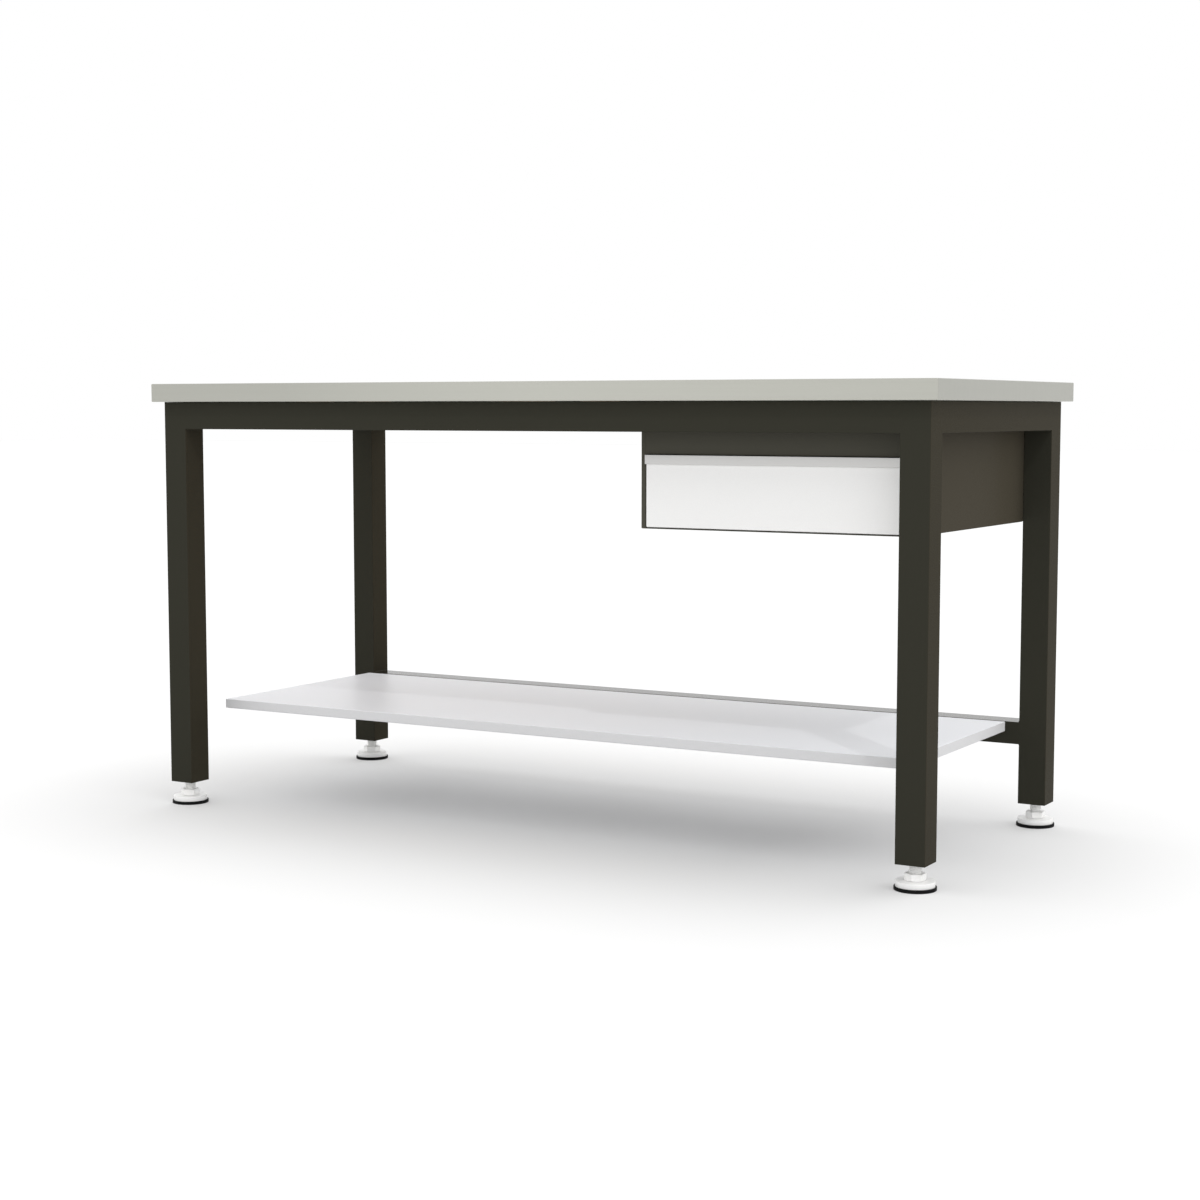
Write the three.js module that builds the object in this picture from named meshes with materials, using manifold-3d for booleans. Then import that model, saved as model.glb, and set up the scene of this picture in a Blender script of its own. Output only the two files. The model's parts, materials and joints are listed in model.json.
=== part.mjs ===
// A steel-framed workbench with a stainless top, one drawer and a low shelf.
// Millimetres, +Z up. The origin lies on the floor under the middle of the top, and the front faces -Y.
import * as THREE from "three";
import { mergeVertices } from "three/addons/utils/BufferGeometryUtils.js";
import Module from "manifold-3d";

// Clearances shared by the whole bench
const seat = 0.3; // between two pieces that rest on, or are welded to, each other
const overrun = 5; // how far a cutting body passes the face that it cuts
const mergeDistance = 0.001; // vertices closer than this are one
const arcSteps = 2; // each quarter circle has twice as many edges
const roundSteps = 28; // edges round a turned piece

// Worktop: a stainless skin folded round a core board
const topLength = 1860;
const topDepth = 800;
const workHeight = 950;
const topThickness = 40;
const topSheet = 1.2;
const topCornerInside = 1.1; // inside radius of the upright corners
const topFoldInside = 0.8; // inside radius of the folds
const topReturn = 30; // the skin's edge folded back under the board
const overhang = 20; // how far the top stands out over the frame, all round

// Welded frame of square tube
const tubeSize = 60;
const tubeWall = 2;
const tubeCorner = 2.4;
const legBottom = 50;
const lowerRailBottom = 178;
const lowerRailHeight = 48;
const bearerWidth = 40;
const bearerPlaceShare = 0.5; // the free bearer's place along the open span

// Tabs that the top is screwed to, on the inside of the front and rear rails
const tabLeg = 30;
const tabLength = 40;
const tabThickness = 3;
const tabScrewHole = 7;
const tabPlaceShares = [0.12, 0.36, 0.88]; // places along the open span

// Screw-in levelling feet
const stemDiameter = 24;
const stemEngagement = 70; // length of thread above the leg's end
const threadClearance = 0.3;
const insertThickness = 8;
const insertBoss = 38;
const insertBossHeight = 24;
const insertCorner = 3;
const hexAcrossFlats = 36;
const hexHeight = 14;
const hexChamfer = 1.6;
const hexBottom = 18;
const neckDiameter = 16;
const neckDepth = 9; // how far the neck reaches down into the pad
const neckFillet = 2;
const padDiameter = 75;
const padEdge = 1; // chamfer round the disc's upper edge
const rubberDiameter = 81;
const rubberHeight = 7;
const rubberLip = 2; // the rubber stands this far up round the pad
const rubberChamfer = 1;

// Low shelf: a folded tray on three arms that stand out from the lower rail
const shelfTop = 232;
const shelfHeight = 21;
const shelfEndGap = 16; // to the inside of the legs
const shelfSideGap = 43;
const shelfSheet = 1.2;
const shelfReturn = 15;
const shelfCornerInside = 1.1;
const shelfFoldInside = 0.8;
const armWidth = 40;
const armSheet = 3;
const armTipHeight = 10;
const armTipGap = 88; // from the shelf's front edge back to the arm's tip
const armPlaceShares = [-0.72, 0, 0.72]; // places along half the shelf's length
const stiffenerSheet = 1.5;
const stiffenerFoldInside = 1;

// Drawer housing, hung under the right-hand end of the top
const housingWidth = 582;
const housingSetback = 78; // from the frame's front to the housing's front
const housingHeight = 255.5;
const housingSheet = 1.2;
const housingFoldInside = 1;
const housingCornerInside = 2;
const faceReturn = 10; // width of the front edge's fold
const faceSill = 2; // height of the fold along the bottom
const fasciaHeight = 107;
const fasciaReturn = 20;
const backReturn = 12;
const backRim = 15;
const hangerLeg = 30;
const hangerThickness = 2;

// Telescopic slides, one on each side of the drawer
const slideLength = 500;
const slideThickness = 12.7;
const slideHeight = 45;
const slideSheet = 1.3;
const slideFoldInside = 0.6;
const slideWebGap = 1.7; // between the webs of two members
const ballGap = 3.2; // the space that a row of balls runs in
const ballRowSteps = 8;
const ballRowSink = 0.4; // how deep a row lies in its member
const ballRowEnd = 60; // from the member's end to the row's end
const spacerHeight = 38;

// Drawer
const drawerFrontThickness = 18;
const drawerFrontGap = 1;
const drawerFrontSheet = 1.2;
const drawerFrontReturn = 14;
const drawerBoxDepth = 560;
const drawerBoxHeight = 110;
const drawerBoxRise = 10.5; // from the housing's bottom up to the box
const drawerBoxSheet = 1;
const drawerBoxRim = 7;
const drawerFoldInside = 0.8;
const drawerCornerInside = 1.5;
const gripHeight = 18.4;
const gripProud = 5.5;
const gripCorner = 1.2;
const gripGroove = 2.2; // width and depth of the fingertip groove along its top
const gripCap = 1.5; // thickness of the leg that laps over the front
const gripCapDepth = 14;
const drawerTopGap = 1;

// Places and sizes that follow from the ones above
const frameLength = topLength - 2 * overhang;
const frameDepth = topDepth - 2 * overhang;
const topUnderside = workHeight - topThickness;
const frameTop = topUnderside - seat;
const boardBottom = topUnderside + topSheet + seat;
const railCentre = frameTop - tubeSize / 2;
const bearerCentre = boardBottom - seat - tubeSize / 2;
const innerX = frameLength / 2 - tubeSize; // inside of the legs
const innerY = frameDepth / 2 - tubeSize;
const legX = frameLength / 2 - tubeSize / 2;
const legY = frameDepth / 2 - tubeSize / 2;

const housingRight = innerX - seat;
const housingLeft = housingRight - housingWidth;
const housingCentre = housingRight - housingWidth / 2;
const housingFront = -frameDepth / 2 + housingSetback;
const housingRear = innerY - seat;
const housingTop = boardBottom - seat;
const housingBottom = housingTop - housingHeight;
const fasciaBottom = housingTop - fasciaHeight;
const slideInset = faceReturn + seat; // from the housing's outside to a slide's back
const spacerThickness = slideInset - housingSheet - 2 * seat;
const drawerBoxWidth = housingWidth - 2 * (slideInset + slideThickness + seat);
const drawerBoxBottom = housingBottom + drawerBoxRise;
const slideCentre = drawerBoxBottom + drawerBoxHeight / 2;
const drawerBoxFront = housingFront + drawerFrontThickness + seat;
const drawerFrontWidth = housingWidth - 2 * (faceReturn + drawerFrontGap);
const drawerFrontBottom = housingBottom + faceSill + drawerFrontGap;
const gripTop = fasciaBottom - drawerTopGap;

const bearerRight = housingLeft - seat;
const openLeft = -innerX;
const openRight = bearerRight - bearerWidth;
const openSpan = openRight - openLeft;

const shelfLength = 2 * (innerX - shelfEndGap);
const shelfDepth = 2 * (innerY - shelfSideGap);
const shelfBottom = shelfTop - shelfHeight;
const armTop = shelfBottom - seat;

// Finishes
const finishes = {
  stainless: { color: 0xbcbeb6, roughness: 0.38, metalness: 0.85 },
  board: { color: 0xb0906a, roughness: 0.85, metalness: 0 },
  framePaint: { color: 0x3a3932, roughness: 0.55, metalness: 0.1 },
  housingPaint: { color: 0x403f38, roughness: 0.55, metalness: 0.1 },
  palePaint: { color: 0xe9e8e6, roughness: 0.45, metalness: 0.05 },
  shelfPaint: { color: 0xe1e1e3, roughness: 0.5, metalness: 0.05 },
  aluminium: { color: 0xc7c6c4, roughness: 0.4, metalness: 0.7 },
  zinc: { color: 0xc9ccce, roughness: 0.35, metalness: 0.9 },
  footWhite: { color: 0xeeeeec, roughness: 0.4, metalness: 0.1 },
  rubber: { color: 0x141414, roughness: 0.9, metalness: 0 },
};

// Joining and cutting
const wasm = await Module();
wasm.setup();

function solidOf(geometry) {
  const bare = geometry.clone();
  bare.deleteAttribute("normal");
  bare.deleteAttribute("uv");
  const merged = mergeVertices(bare, mergeDistance);
  const mesh = new wasm.Mesh({
    numProp: 3,
    vertProperties: merged.attributes.position.array,
    triVerts: new Uint32Array(merged.index.array),
  });
  return new wasm.Manifold(mesh);
}

function geometryOf(solid) {
  const mesh = solid.getMesh();
  const geometry = new THREE.BufferGeometry();
  geometry.setAttribute("position", new THREE.BufferAttribute(mesh.vertProperties, 3));
  geometry.setIndex(new THREE.BufferAttribute(mesh.triVerts, 1));
  geometry.computeVertexNormals();
  return geometry;
}

function cut(body, ...tools) {
  return geometryOf(tools.reduce((solid, tool) => solid.subtract(solidOf(tool)), solidOf(body)));
}

function join(body, ...others) {
  return geometryOf(others.reduce((solid, other) => solid.add(solidOf(other)), solidOf(body)));
}

// Outlines
function roundedRectangle(width, height, radius, Kind = THREE.Shape) {
  const x = width / 2 - radius;
  const y = height / 2 - radius;
  const quarter = Math.PI / 2;
  const outline = new Kind();
  outline.absarc(x, y, radius, 0, quarter);
  outline.absarc(-x, y, radius, quarter, 2 * quarter);
  outline.absarc(-x, -y, radius, 2 * quarter, 3 * quarter);
  outline.absarc(x, -y, radius, 3 * quarter, 4 * quarter);
  outline.closePath();
  return outline;
}

function tubeSection(width, height, wall, radius) {
  const section = roundedRectangle(width, height, radius);
  const bore = roundedRectangle(width - 2 * wall, height - 2 * wall, radius - wall, THREE.Path);
  section.holes.push(bore);
  return section;
}

// A channel of bent sheet that opens upwards: its web lies on the section's lower edge.
function channelSection(width, height, sheet, foldInside) {
  const half = width / 2;
  const foldOutside = foldInside + sheet;
  const quarter = Math.PI / 2;
  const section = new THREE.Shape();
  section.moveTo(-half + sheet, height);
  section.lineTo(-half, height);
  section.absarc(-half + foldOutside, foldOutside, foldOutside, 2 * quarter, 3 * quarter);
  section.absarc(half - foldOutside, foldOutside, foldOutside, 3 * quarter, 4 * quarter);
  section.lineTo(half, height);
  section.lineTo(half - sheet, height);
  section.absarc(half - foldOutside, foldOutside, foldInside, 4 * quarter, 3 * quarter, true);
  section.absarc(-half + foldOutside, foldOutside, foldInside, 3 * quarter, 2 * quarter, true);
  section.closePath();
  return section;
}

// A solid section with rounded lower corners
function troughSection(width, height, radius) {
  const half = width / 2;
  const quarter = Math.PI / 2;
  const section = new THREE.Shape();
  section.moveTo(half, height);
  section.lineTo(-half, height);
  section.absarc(-half + radius, radius, radius, 2 * quarter, 3 * quarter);
  section.absarc(half - radius, radius, radius, 3 * quarter, 4 * quarter);
  section.closePath();
  return section;
}

function angleSection(across, up, thickness) {
  const section = new THREE.Shape();
  section.moveTo(0, 0);
  section.lineTo(across, 0);
  section.lineTo(across, -thickness);
  section.lineTo(thickness, -thickness);
  section.lineTo(thickness, -up);
  section.lineTo(0, -up);
  section.closePath();
  return section;
}

// Runs of a section. Along X it is drawn in (y, z), along Y in (x, z), and along Z in (x, y).
const unitX = new THREE.Vector3(1, 0, 0);
const unitY = new THREE.Vector3(0, 1, 0);
const unitZ = new THREE.Vector3(0, 0, 1);

function runAlongZ(section, length, curveSegments = arcSteps) {
  return new THREE.ExtrudeGeometry(section, { depth: length, bevelEnabled: false, curveSegments });
}

function runAlongX(section, length) {
  const turn = new THREE.Matrix4().makeBasis(unitY, unitZ, unitX);
  return runAlongZ(section, length).applyMatrix4(turn);
}

function runAlongY(section, length) {
  const turn = new THREE.Matrix4().makeBasis(unitX, unitZ, unitY.clone().negate());
  return runAlongZ(section, length).applyMatrix4(turn).translate(0, length, 0);
}

function turned(points, steps = roundSteps) {
  const profile = points.map(([radius, height]) => new THREE.Vector2(radius, height));
  return new THREE.LatheGeometry(profile, steps).rotateX(Math.PI / 2);
}

function block(width, depth, height) {
  return new THREE.BoxGeometry(width, depth, height);
}

// A slab with rounded upright corners and rounded edges, standing on z = 0.
function roundedSlab(length, depth, height, cornerRadius, edgeRadius) {
  const outline = roundedRectangle(length, depth, cornerRadius);
  const slab = new THREE.ExtrudeGeometry(outline, {
    depth: height - 2 * edgeRadius,
    curveSegments: arcSteps,
    bevelThickness: edgeRadius,
    bevelSize: edgeRadius,
    bevelOffset: -edgeRadius,
    bevelSegments: arcSteps,
  });
  return slab.translate(0, 0, edgeRadius);
}

// Sheet folded down on four sides and back under itself, open below inside its rim.
function foldedPan({ length, depth, height, sheet, cornerInside, foldInside, rim }) {
  const outside = roundedSlab(length, depth, height, cornerInside + sheet, foldInside + sheet);
  const hollowLength = length - 2 * sheet;
  const hollowDepth = depth - 2 * sheet;
  const hollowHeight = height - 2 * sheet;
  const hollow = roundedSlab(hollowLength, hollowDepth, hollowHeight, cornerInside, foldInside);
  const mouth = roundedRectangle(length - 2 * rim, depth - 2 * rim, cornerInside);
  const opening = runAlongZ(mouth, sheet + foldInside + overrun).translate(0, 0, -overrun);
  return cut(outside, hollow.translate(0, 0, sheet), opening);
}

// Placing
const bench = new THREE.Group();

function place(parent, name, geometry, finish, x = 0, y = 0, z = 0) {
  const mesh = new THREE.Mesh(geometry, new THREE.MeshStandardMaterial(finishes[finish]));
  mesh.name = name;
  mesh.position.set(x, y, z);
  parent.add(mesh);
  return mesh;
}

// Legs, and the threaded inserts welded into their lower ends
function legInsert() {
  const inside = tubeSize - 2 * tubeWall - 2 * seat;
  const plate = runAlongZ(roundedRectangle(inside, inside, insertCorner), insertThickness);
  const boss = turned([
    [0, 0],
    [insertBoss / 2, 0],
    [insertBoss / 2, insertThickness + insertBossHeight],
    [0, insertThickness + insertBossHeight],
  ]);
  const boreRadius = stemDiameter / 2 + threadClearance;
  const boreTop = insertThickness + insertBossHeight + overrun;
  const bore = turned([
    [0, -overrun],
    [boreRadius, -overrun],
    [boreRadius, boreTop],
    [0, boreTop],
  ]);
  return cut(join(plate, boss), bore);
}

function addLegs() {
  const section = tubeSection(tubeSize, tubeSize, tubeWall, tubeCorner);
  const leg = runAlongZ(section, frameTop - legBottom);
  const insert = legInsert();
  for (const corner of corners) {
    place(bench, "leg_" + corner.name, leg, "framePaint", corner.x, corner.y, legBottom);
    place(bench, "leg_insert_" + corner.name, insert, "framePaint", corner.x, corner.y, legBottom);
  }
}

const corners = [
  { name: "front_left", x: -legX, y: -legY },
  { name: "front_right", x: legX, y: -legY },
  { name: "rear_left", x: -legX, y: legY },
  { name: "rear_right", x: legX, y: legY },
];

// Rails between the legs, and the two bearers that cross the frame under the top
function addRails() {
  const square = tubeSection(tubeSize, tubeSize, tubeWall, tubeCorner);
  const low = tubeSection(tubeSize, lowerRailHeight, tubeWall, tubeCorner);
  const bearer = tubeSection(bearerWidth, tubeSize, tubeWall, tubeCorner);
  const longRun = 2 * (innerX - seat);
  const crossRun = 2 * (innerY - seat);
  const longRail = runAlongX(square, longRun);
  const crossRail = runAlongY(square, crossRun);
  const lowRail = runAlongX(low, longRun);
  const bearerRail = runAlongY(bearer, crossRun);
  const startX = -longRun / 2;
  const startY = -crossRun / 2;
  const lowCentre = lowerRailBottom + lowerRailHeight / 2;
  const freeBearer = openLeft + openSpan * bearerPlaceShare;
  place(bench, "front_rail", longRail, "framePaint", startX, -legY, railCentre);
  place(bench, "rear_rail", longRail, "framePaint", startX, legY, railCentre);
  place(bench, "end_rail_left", crossRail, "framePaint", -legX, startY, railCentre);
  place(bench, "end_rail_right", crossRail, "framePaint", legX, startY, railCentre);
  place(bench, "lower_rear_rail", lowRail, "framePaint", startX, legY, lowCentre);
  const housingBearer = bearerRight - bearerWidth / 2;
  place(bench, "bearer_left", bearerRail, "framePaint", freeBearer, startY, bearerCentre);
  place(bench, "bearer_middle", bearerRail, "framePaint", housingBearer, startY, bearerCentre);
}

// Tabs along the rails that take the screws into the board
function fixingTab() {
  const angle = runAlongX(angleSection(tabLeg, tabLeg, tabThickness), tabLength);
  const hole = turned([
    [0, -overrun - tabThickness],
    [tabScrewHole / 2, -overrun - tabThickness],
    [tabScrewHole / 2, overrun],
    [0, overrun],
  ]);
  return cut(angle.translate(-tabLength / 2, 0, 0), hole.translate(0, (tabLeg + tabThickness) / 2, 0));
}

function addTabs() {
  const tab = fixingTab();
  const tabTop = boardBottom - seat;
  const face = innerY - seat;
  tabPlaceShares.forEach((share, index) => {
    const x = openLeft + openSpan * share;
    place(bench, "top_tab_front_" + (index + 1), tab, "framePaint", x, -face, tabTop);
    const rear = place(bench, "top_tab_rear_" + (index + 1), tab, "framePaint", x, face, tabTop);
    rear.rotation.z = Math.PI;
  });
}

// Worktop: the skin and the board that fills it
function addWorktop() {
  const skin = foldedPan({
    length: topLength,
    depth: topDepth,
    height: topThickness,
    sheet: topSheet,
    cornerInside: topCornerInside,
    foldInside: topFoldInside,
    rim: topReturn,
  });
  const clear = 2 * (topSheet + seat);
  const board = roundedSlab(
    topLength - clear,
    topDepth - clear,
    topThickness - clear,
    topCornerInside,
    topFoldInside,
  );
  place(bench, "worktop_skin", skin, "stainless", 0, 0, topUnderside);
  place(bench, "worktop_board", board, "board", 0, 0, boardBottom);
}

// Shelf: the tray, its stiffeners and the arms that carry it
function shelfArm() {
  const tip = -shelfDepth / 2 + armTipGap;
  const root = innerY - seat;
  const rootHeight = armTop - lowerRailBottom;
  const side = new THREE.Shape();
  side.moveTo(tip, 0);
  side.lineTo(tip, -armTipHeight);
  side.lineTo(root, -rootHeight);
  side.lineTo(root, 0);
  side.closePath();
  const hollowDepth = root + overrun - tip - armSheet;
  const hollow = block(armWidth - 2 * armSheet, hollowDepth, rootHeight + overrun);
  hollow.translate(0, tip + armSheet + hollowDepth / 2, -armSheet - (rootHeight + overrun) / 2);
  return cut(runAlongX(side, armWidth).translate(-armWidth / 2, 0, 0), hollow);
}

function addShelf() {
  const tray = foldedPan({
    length: shelfLength,
    depth: shelfDepth,
    height: shelfHeight,
    sheet: shelfSheet,
    cornerInside: shelfCornerInside,
    foldInside: shelfFoldInside,
    rim: shelfReturn,
  });
  const arm = shelfArm();
  const stiffenerHeight = shelfHeight - shelfSheet - seat;
  const stiffenerRun = shelfDepth - 2 * (shelfReturn + seat);
  const section = channelSection(armWidth, stiffenerHeight, stiffenerSheet, stiffenerFoldInside);
  const stiffener = runAlongY(section, stiffenerRun).rotateY(Math.PI);
  place(bench, "shelf_tray", tray, "shelfPaint", 0, 0, shelfBottom);
  armPlaceShares.forEach((share, index) => {
    const x = (shelfLength / 2) * share;
    const top = shelfBottom + stiffenerHeight;
    place(bench, "shelf_arm_" + (index + 1), arm, "framePaint", x, 0, armTop);
    place(bench, "shelf_stiffener_" + (index + 1), stiffener, "shelfPaint", x, -stiffenerRun / 2, top);
  });
}

// Drawer housing: a wrapper of sides and bottom, its fascia, its back and the two hangers
function housingWrapper() {
  const depth = housingRear - housingFront;
  const foldOutside = housingFoldInside + housingSheet;
  const outside = runAlongY(troughSection(housingWidth, housingHeight, foldOutside), depth);
  const hollowWidth = housingWidth - 2 * housingSheet;
  const hollow = runAlongY(troughSection(hollowWidth, housingHeight, housingFoldInside), depth);
  const opening = block(housingWidth - 2 * faceReturn, 2 * overrun, housingHeight);
  opening.translate(0, 0, housingHeight / 2 + faceSill);
  return cut(outside, hollow.translate(0, housingSheet, housingSheet), opening);
}

function addHousing() {
  const insideWidth = housingWidth - 2 * (housingSheet + seat);
  const hangerRun = housingRear - housingFront - backReturn - fasciaReturn - 2 * seat;
  const hangerStart = housingFront + fasciaReturn + seat;
  const hanger = runAlongY(angleSection(hangerLeg, hangerLeg, hangerThickness), hangerRun);
  const hangerRight = hanger.clone().rotateZ(Math.PI).translate(0, hangerRun, 0);

  const fasciaRun = housingWidth - 2 * (faceReturn + seat);
  const fasciaSection = channelSection(fasciaHeight, fasciaReturn, housingSheet, housingFoldInside);
  // The section's web is turned to face the front.
  const fascia = runAlongX(fasciaSection, fasciaRun).rotateX(-Math.PI / 2);

  const backBottom = housingBottom + housingSheet + seat;
  const backHeight = housingTop - backBottom;
  const back = foldedPan({
    length: insideWidth,
    depth: backHeight,
    height: backReturn,
    sheet: housingSheet,
    cornerInside: housingCornerInside,
    foldInside: housingFoldInside,
    rim: backRim,
  }).rotateX(-Math.PI / 2);

  const wallLeft = housingLeft + housingSheet + seat;
  const wallRight = housingRight - housingSheet - seat;
  const fasciaLeft = housingLeft + faceReturn + seat;
  const fasciaMiddle = fasciaBottom + fasciaHeight / 2;
  const backMiddle = backBottom + backHeight / 2;
  const wrapper = housingWrapper();
  place(bench, "housing_wrapper", wrapper, "housingPaint", housingCentre, housingFront, housingBottom);
  place(bench, "housing_fascia", fascia, "housingPaint", fasciaLeft, housingFront, fasciaMiddle);
  place(bench, "housing_back", back, "housingPaint", housingCentre, housingRear - backReturn, backMiddle);
  place(bench, "housing_hanger_left", hanger, "zinc", wallLeft, hangerStart, housingTop);
  place(bench, "housing_hanger_right", hangerRight, "zinc", wallRight, hangerStart, housingTop);
}

// Slides. Each section is drawn for the left side, with X running from the wall towards the drawer.
function slideChannel(height, depth) {
  const section = channelSection(height, depth, slideSheet, slideFoldInside);
  return runAlongY(section, slideLength).rotateY(Math.PI / 2);
}

// A row of balls in its cage, as one bar
function ballRow(x, z, radius) {
  const length = slideLength - 2 * ballRowEnd;
  const bar = new THREE.CylinderGeometry(radius, radius, length, ballRowSteps);
  return bar.translate(x, slideLength / 2, z);
}

function middleMember(height, depth) {
  const radius = (ballGap - seat + ballRowSink) / 2;
  const outerRow = height / 2 + radius - ballRowSink;
  const innerRow = height / 2 - slideSheet - radius + ballRowSink;
  const rows = [outerRow, innerRow, -innerRow, -outerRow];
  return join(slideChannel(height, depth), ...rows.map((z) => ballRow(depth / 2, z, radius)));
}

function addSlides() {
  const middleHeight = slideHeight - 2 * (slideSheet + ballGap);
  const innerHeight = middleHeight - 2 * (slideSheet + ballGap);
  const middleOffset = slideSheet + slideWebGap;
  const outerDepth = slideThickness - middleOffset;
  const middleDepth = slideThickness - middleOffset - slideWebGap;
  const innerDepth = slideThickness - 2 * middleOffset - slideWebGap / 2;
  const outer = slideChannel(slideHeight, outerDepth);
  const middle = middleMember(middleHeight, middleDepth);
  const inner = slideChannel(innerHeight, innerDepth).rotateY(Math.PI);
  const spacer = runAlongY(
    channelSection(spacerHeight, spacerThickness, housingSheet, housingFoldInside),
    slideLength,
  ).rotateY(-Math.PI / 2);
  const inset = slideInset - housingSheet;
  for (const side of ["left", "right"]) {
    const wall = new THREE.Group();
    const isLeft = side === "left";
    const wallX = isLeft ? housingLeft + housingSheet : housingRight - housingSheet;
    wall.position.set(wallX, drawerBoxFront, slideCentre);
    wall.rotation.y = isLeft ? 0 : Math.PI;
    bench.add(wall);
    place(wall, "slide_spacer_" + side, spacer, "zinc", inset - seat, 0, 0);
    place(wall, "slide_outer_" + side, outer, "zinc", inset, 0, 0);
    place(wall, "slide_middle_" + side, middle, "zinc", inset + middleOffset, 0, 0);
    place(wall, "slide_inner_" + side, inner, "zinc", inset + slideThickness, 0, 0);
  }
}

// Drawer: the folded box, the front and the grip strip along the front's upper edge
function gripStrip() {
  const half = gripHeight / 2;
  const section = roundedRectangle(gripProud - seat, gripHeight, gripCorner);
  const bar = runAlongX(section, drawerFrontWidth).translate(0, -gripProud / 2 - seat / 2, -half);
  const capDepth = gripCapDepth + gripProud / 2;
  const cap = block(drawerFrontWidth, capDepth, gripCap);
  cap.translate(drawerFrontWidth / 2, gripCapDepth - capDepth / 2, -gripCap / 2);
  const groove = block(drawerFrontWidth + 2 * overrun, gripGroove, gripGroove);
  groove.translate(drawerFrontWidth / 2, -gripProud / 2 - seat / 2, 0);
  return cut(join(bar, cap), groove);
}

function addDrawer() {
  const frontTop = gripTop - gripCap - seat;
  const frontHeight = frontTop - drawerFrontBottom;
  const front = foldedPan({
    length: drawerFrontWidth,
    depth: frontHeight,
    height: drawerFrontThickness,
    sheet: drawerFrontSheet,
    cornerInside: drawerCornerInside,
    foldInside: drawerFoldInside,
    rim: drawerFrontReturn,
  }).rotateX(Math.PI / 2);
  const box = foldedPan({
    length: drawerBoxWidth,
    depth: drawerBoxDepth,
    height: drawerBoxHeight,
    sheet: drawerBoxSheet,
    cornerInside: drawerCornerInside,
    foldInside: drawerFoldInside,
    rim: drawerBoxRim,
  }).rotateX(Math.PI);
  const frontY = housingFront + drawerFrontThickness;
  const boxY = drawerBoxFront + drawerBoxDepth / 2;
  const gripX = housingCentre - drawerFrontWidth / 2;
  const frontMiddle = drawerFrontBottom + frontHeight / 2;
  place(bench, "drawer_front", front, "palePaint", housingCentre, frontY, frontMiddle);
  place(bench, "drawer_box", box, "palePaint", housingCentre, boxY, drawerBoxBottom + drawerBoxHeight);
  place(bench, "drawer_grip", gripStrip(), "aluminium", gripX, housingFront, gripTop);
}

// Levelling feet: a threaded stem with its hexagon, a disc pad and a rubber sole
function footStem() {
  const stemRadius = stemDiameter / 2;
  const neckRadius = neckDiameter / 2;
  const stemTop = legBottom + stemEngagement;
  const rod = turned([
    [0, hexBottom - neckDepth],
    [neckRadius - neckFillet / 2, hexBottom - neckDepth],
    [neckRadius, hexBottom - neckDepth + neckFillet / 2],
    [neckRadius, hexBottom + neckFillet],
    [stemRadius, hexBottom + neckFillet],
    [stemRadius, stemTop - neckFillet],
    [stemRadius - neckFillet, stemTop],
    [0, stemTop],
  ]);
  const cornerRadius = hexAcrossFlats / Math.sqrt(3);
  const prism = new THREE.CylinderGeometry(cornerRadius, cornerRadius, hexHeight, 6);
  prism.rotateX(Math.PI / 2).translate(0, 0, hexBottom + hexHeight / 2);
  const chamferRadius = hexAcrossFlats / 2;
  const envelope = turned([
    [0, hexBottom],
    [chamferRadius, hexBottom],
    [cornerRadius + hexChamfer, hexBottom + hexChamfer + hexChamfer],
    [cornerRadius + hexChamfer, hexBottom + hexHeight - hexChamfer - hexChamfer],
    [chamferRadius, hexBottom + hexHeight],
    [0, hexBottom + hexHeight],
  ]);
  const hexagon = solidOf(prism).intersect(solidOf(envelope));
  return geometryOf(solidOf(rod).add(hexagon));
}

function footPad() {
  const radius = padDiameter / 2;
  const socketRadius = neckDiameter / 2 + seat;
  const bottom = rubberHeight - rubberLip + seat;
  const socketFloor = hexBottom - neckDepth - seat;
  const top = hexBottom - seat;
  return turned([
    [0, bottom],
    [radius, bottom],
    [radius, top - padEdge],
    [radius - padEdge, top],
    [socketRadius, top],
    [socketRadius, socketFloor],
    [0, socketFloor],
  ]);
}

function footRubber() {
  const radius = rubberDiameter / 2;
  const recess = padDiameter / 2 + seat;
  const floor = rubberHeight - rubberLip;
  return turned([
    [0, 0],
    [radius - rubberChamfer, 0],
    [radius, rubberChamfer],
    [radius, rubberHeight - rubberChamfer],
    [radius - rubberChamfer, rubberHeight],
    [recess, rubberHeight],
    [recess, floor],
    [0, floor],
  ]);
}

function addFeet() {
  const stem = footStem();
  const pad = footPad();
  const rubber = footRubber();
  for (const corner of corners) {
    place(bench, "foot_stem_" + corner.name, stem, "footWhite", corner.x, corner.y);
    place(bench, "foot_pad_" + corner.name, pad, "footWhite", corner.x, corner.y);
    place(bench, "foot_rubber_" + corner.name, rubber, "rubber", corner.x, corner.y);
  }
}

addLegs();
addRails();
addTabs();
addWorktop();
addShelf();
addHousing();
addSlides();
addDrawer();
addFeet();

export default bench;
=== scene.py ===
import json
import math

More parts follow.
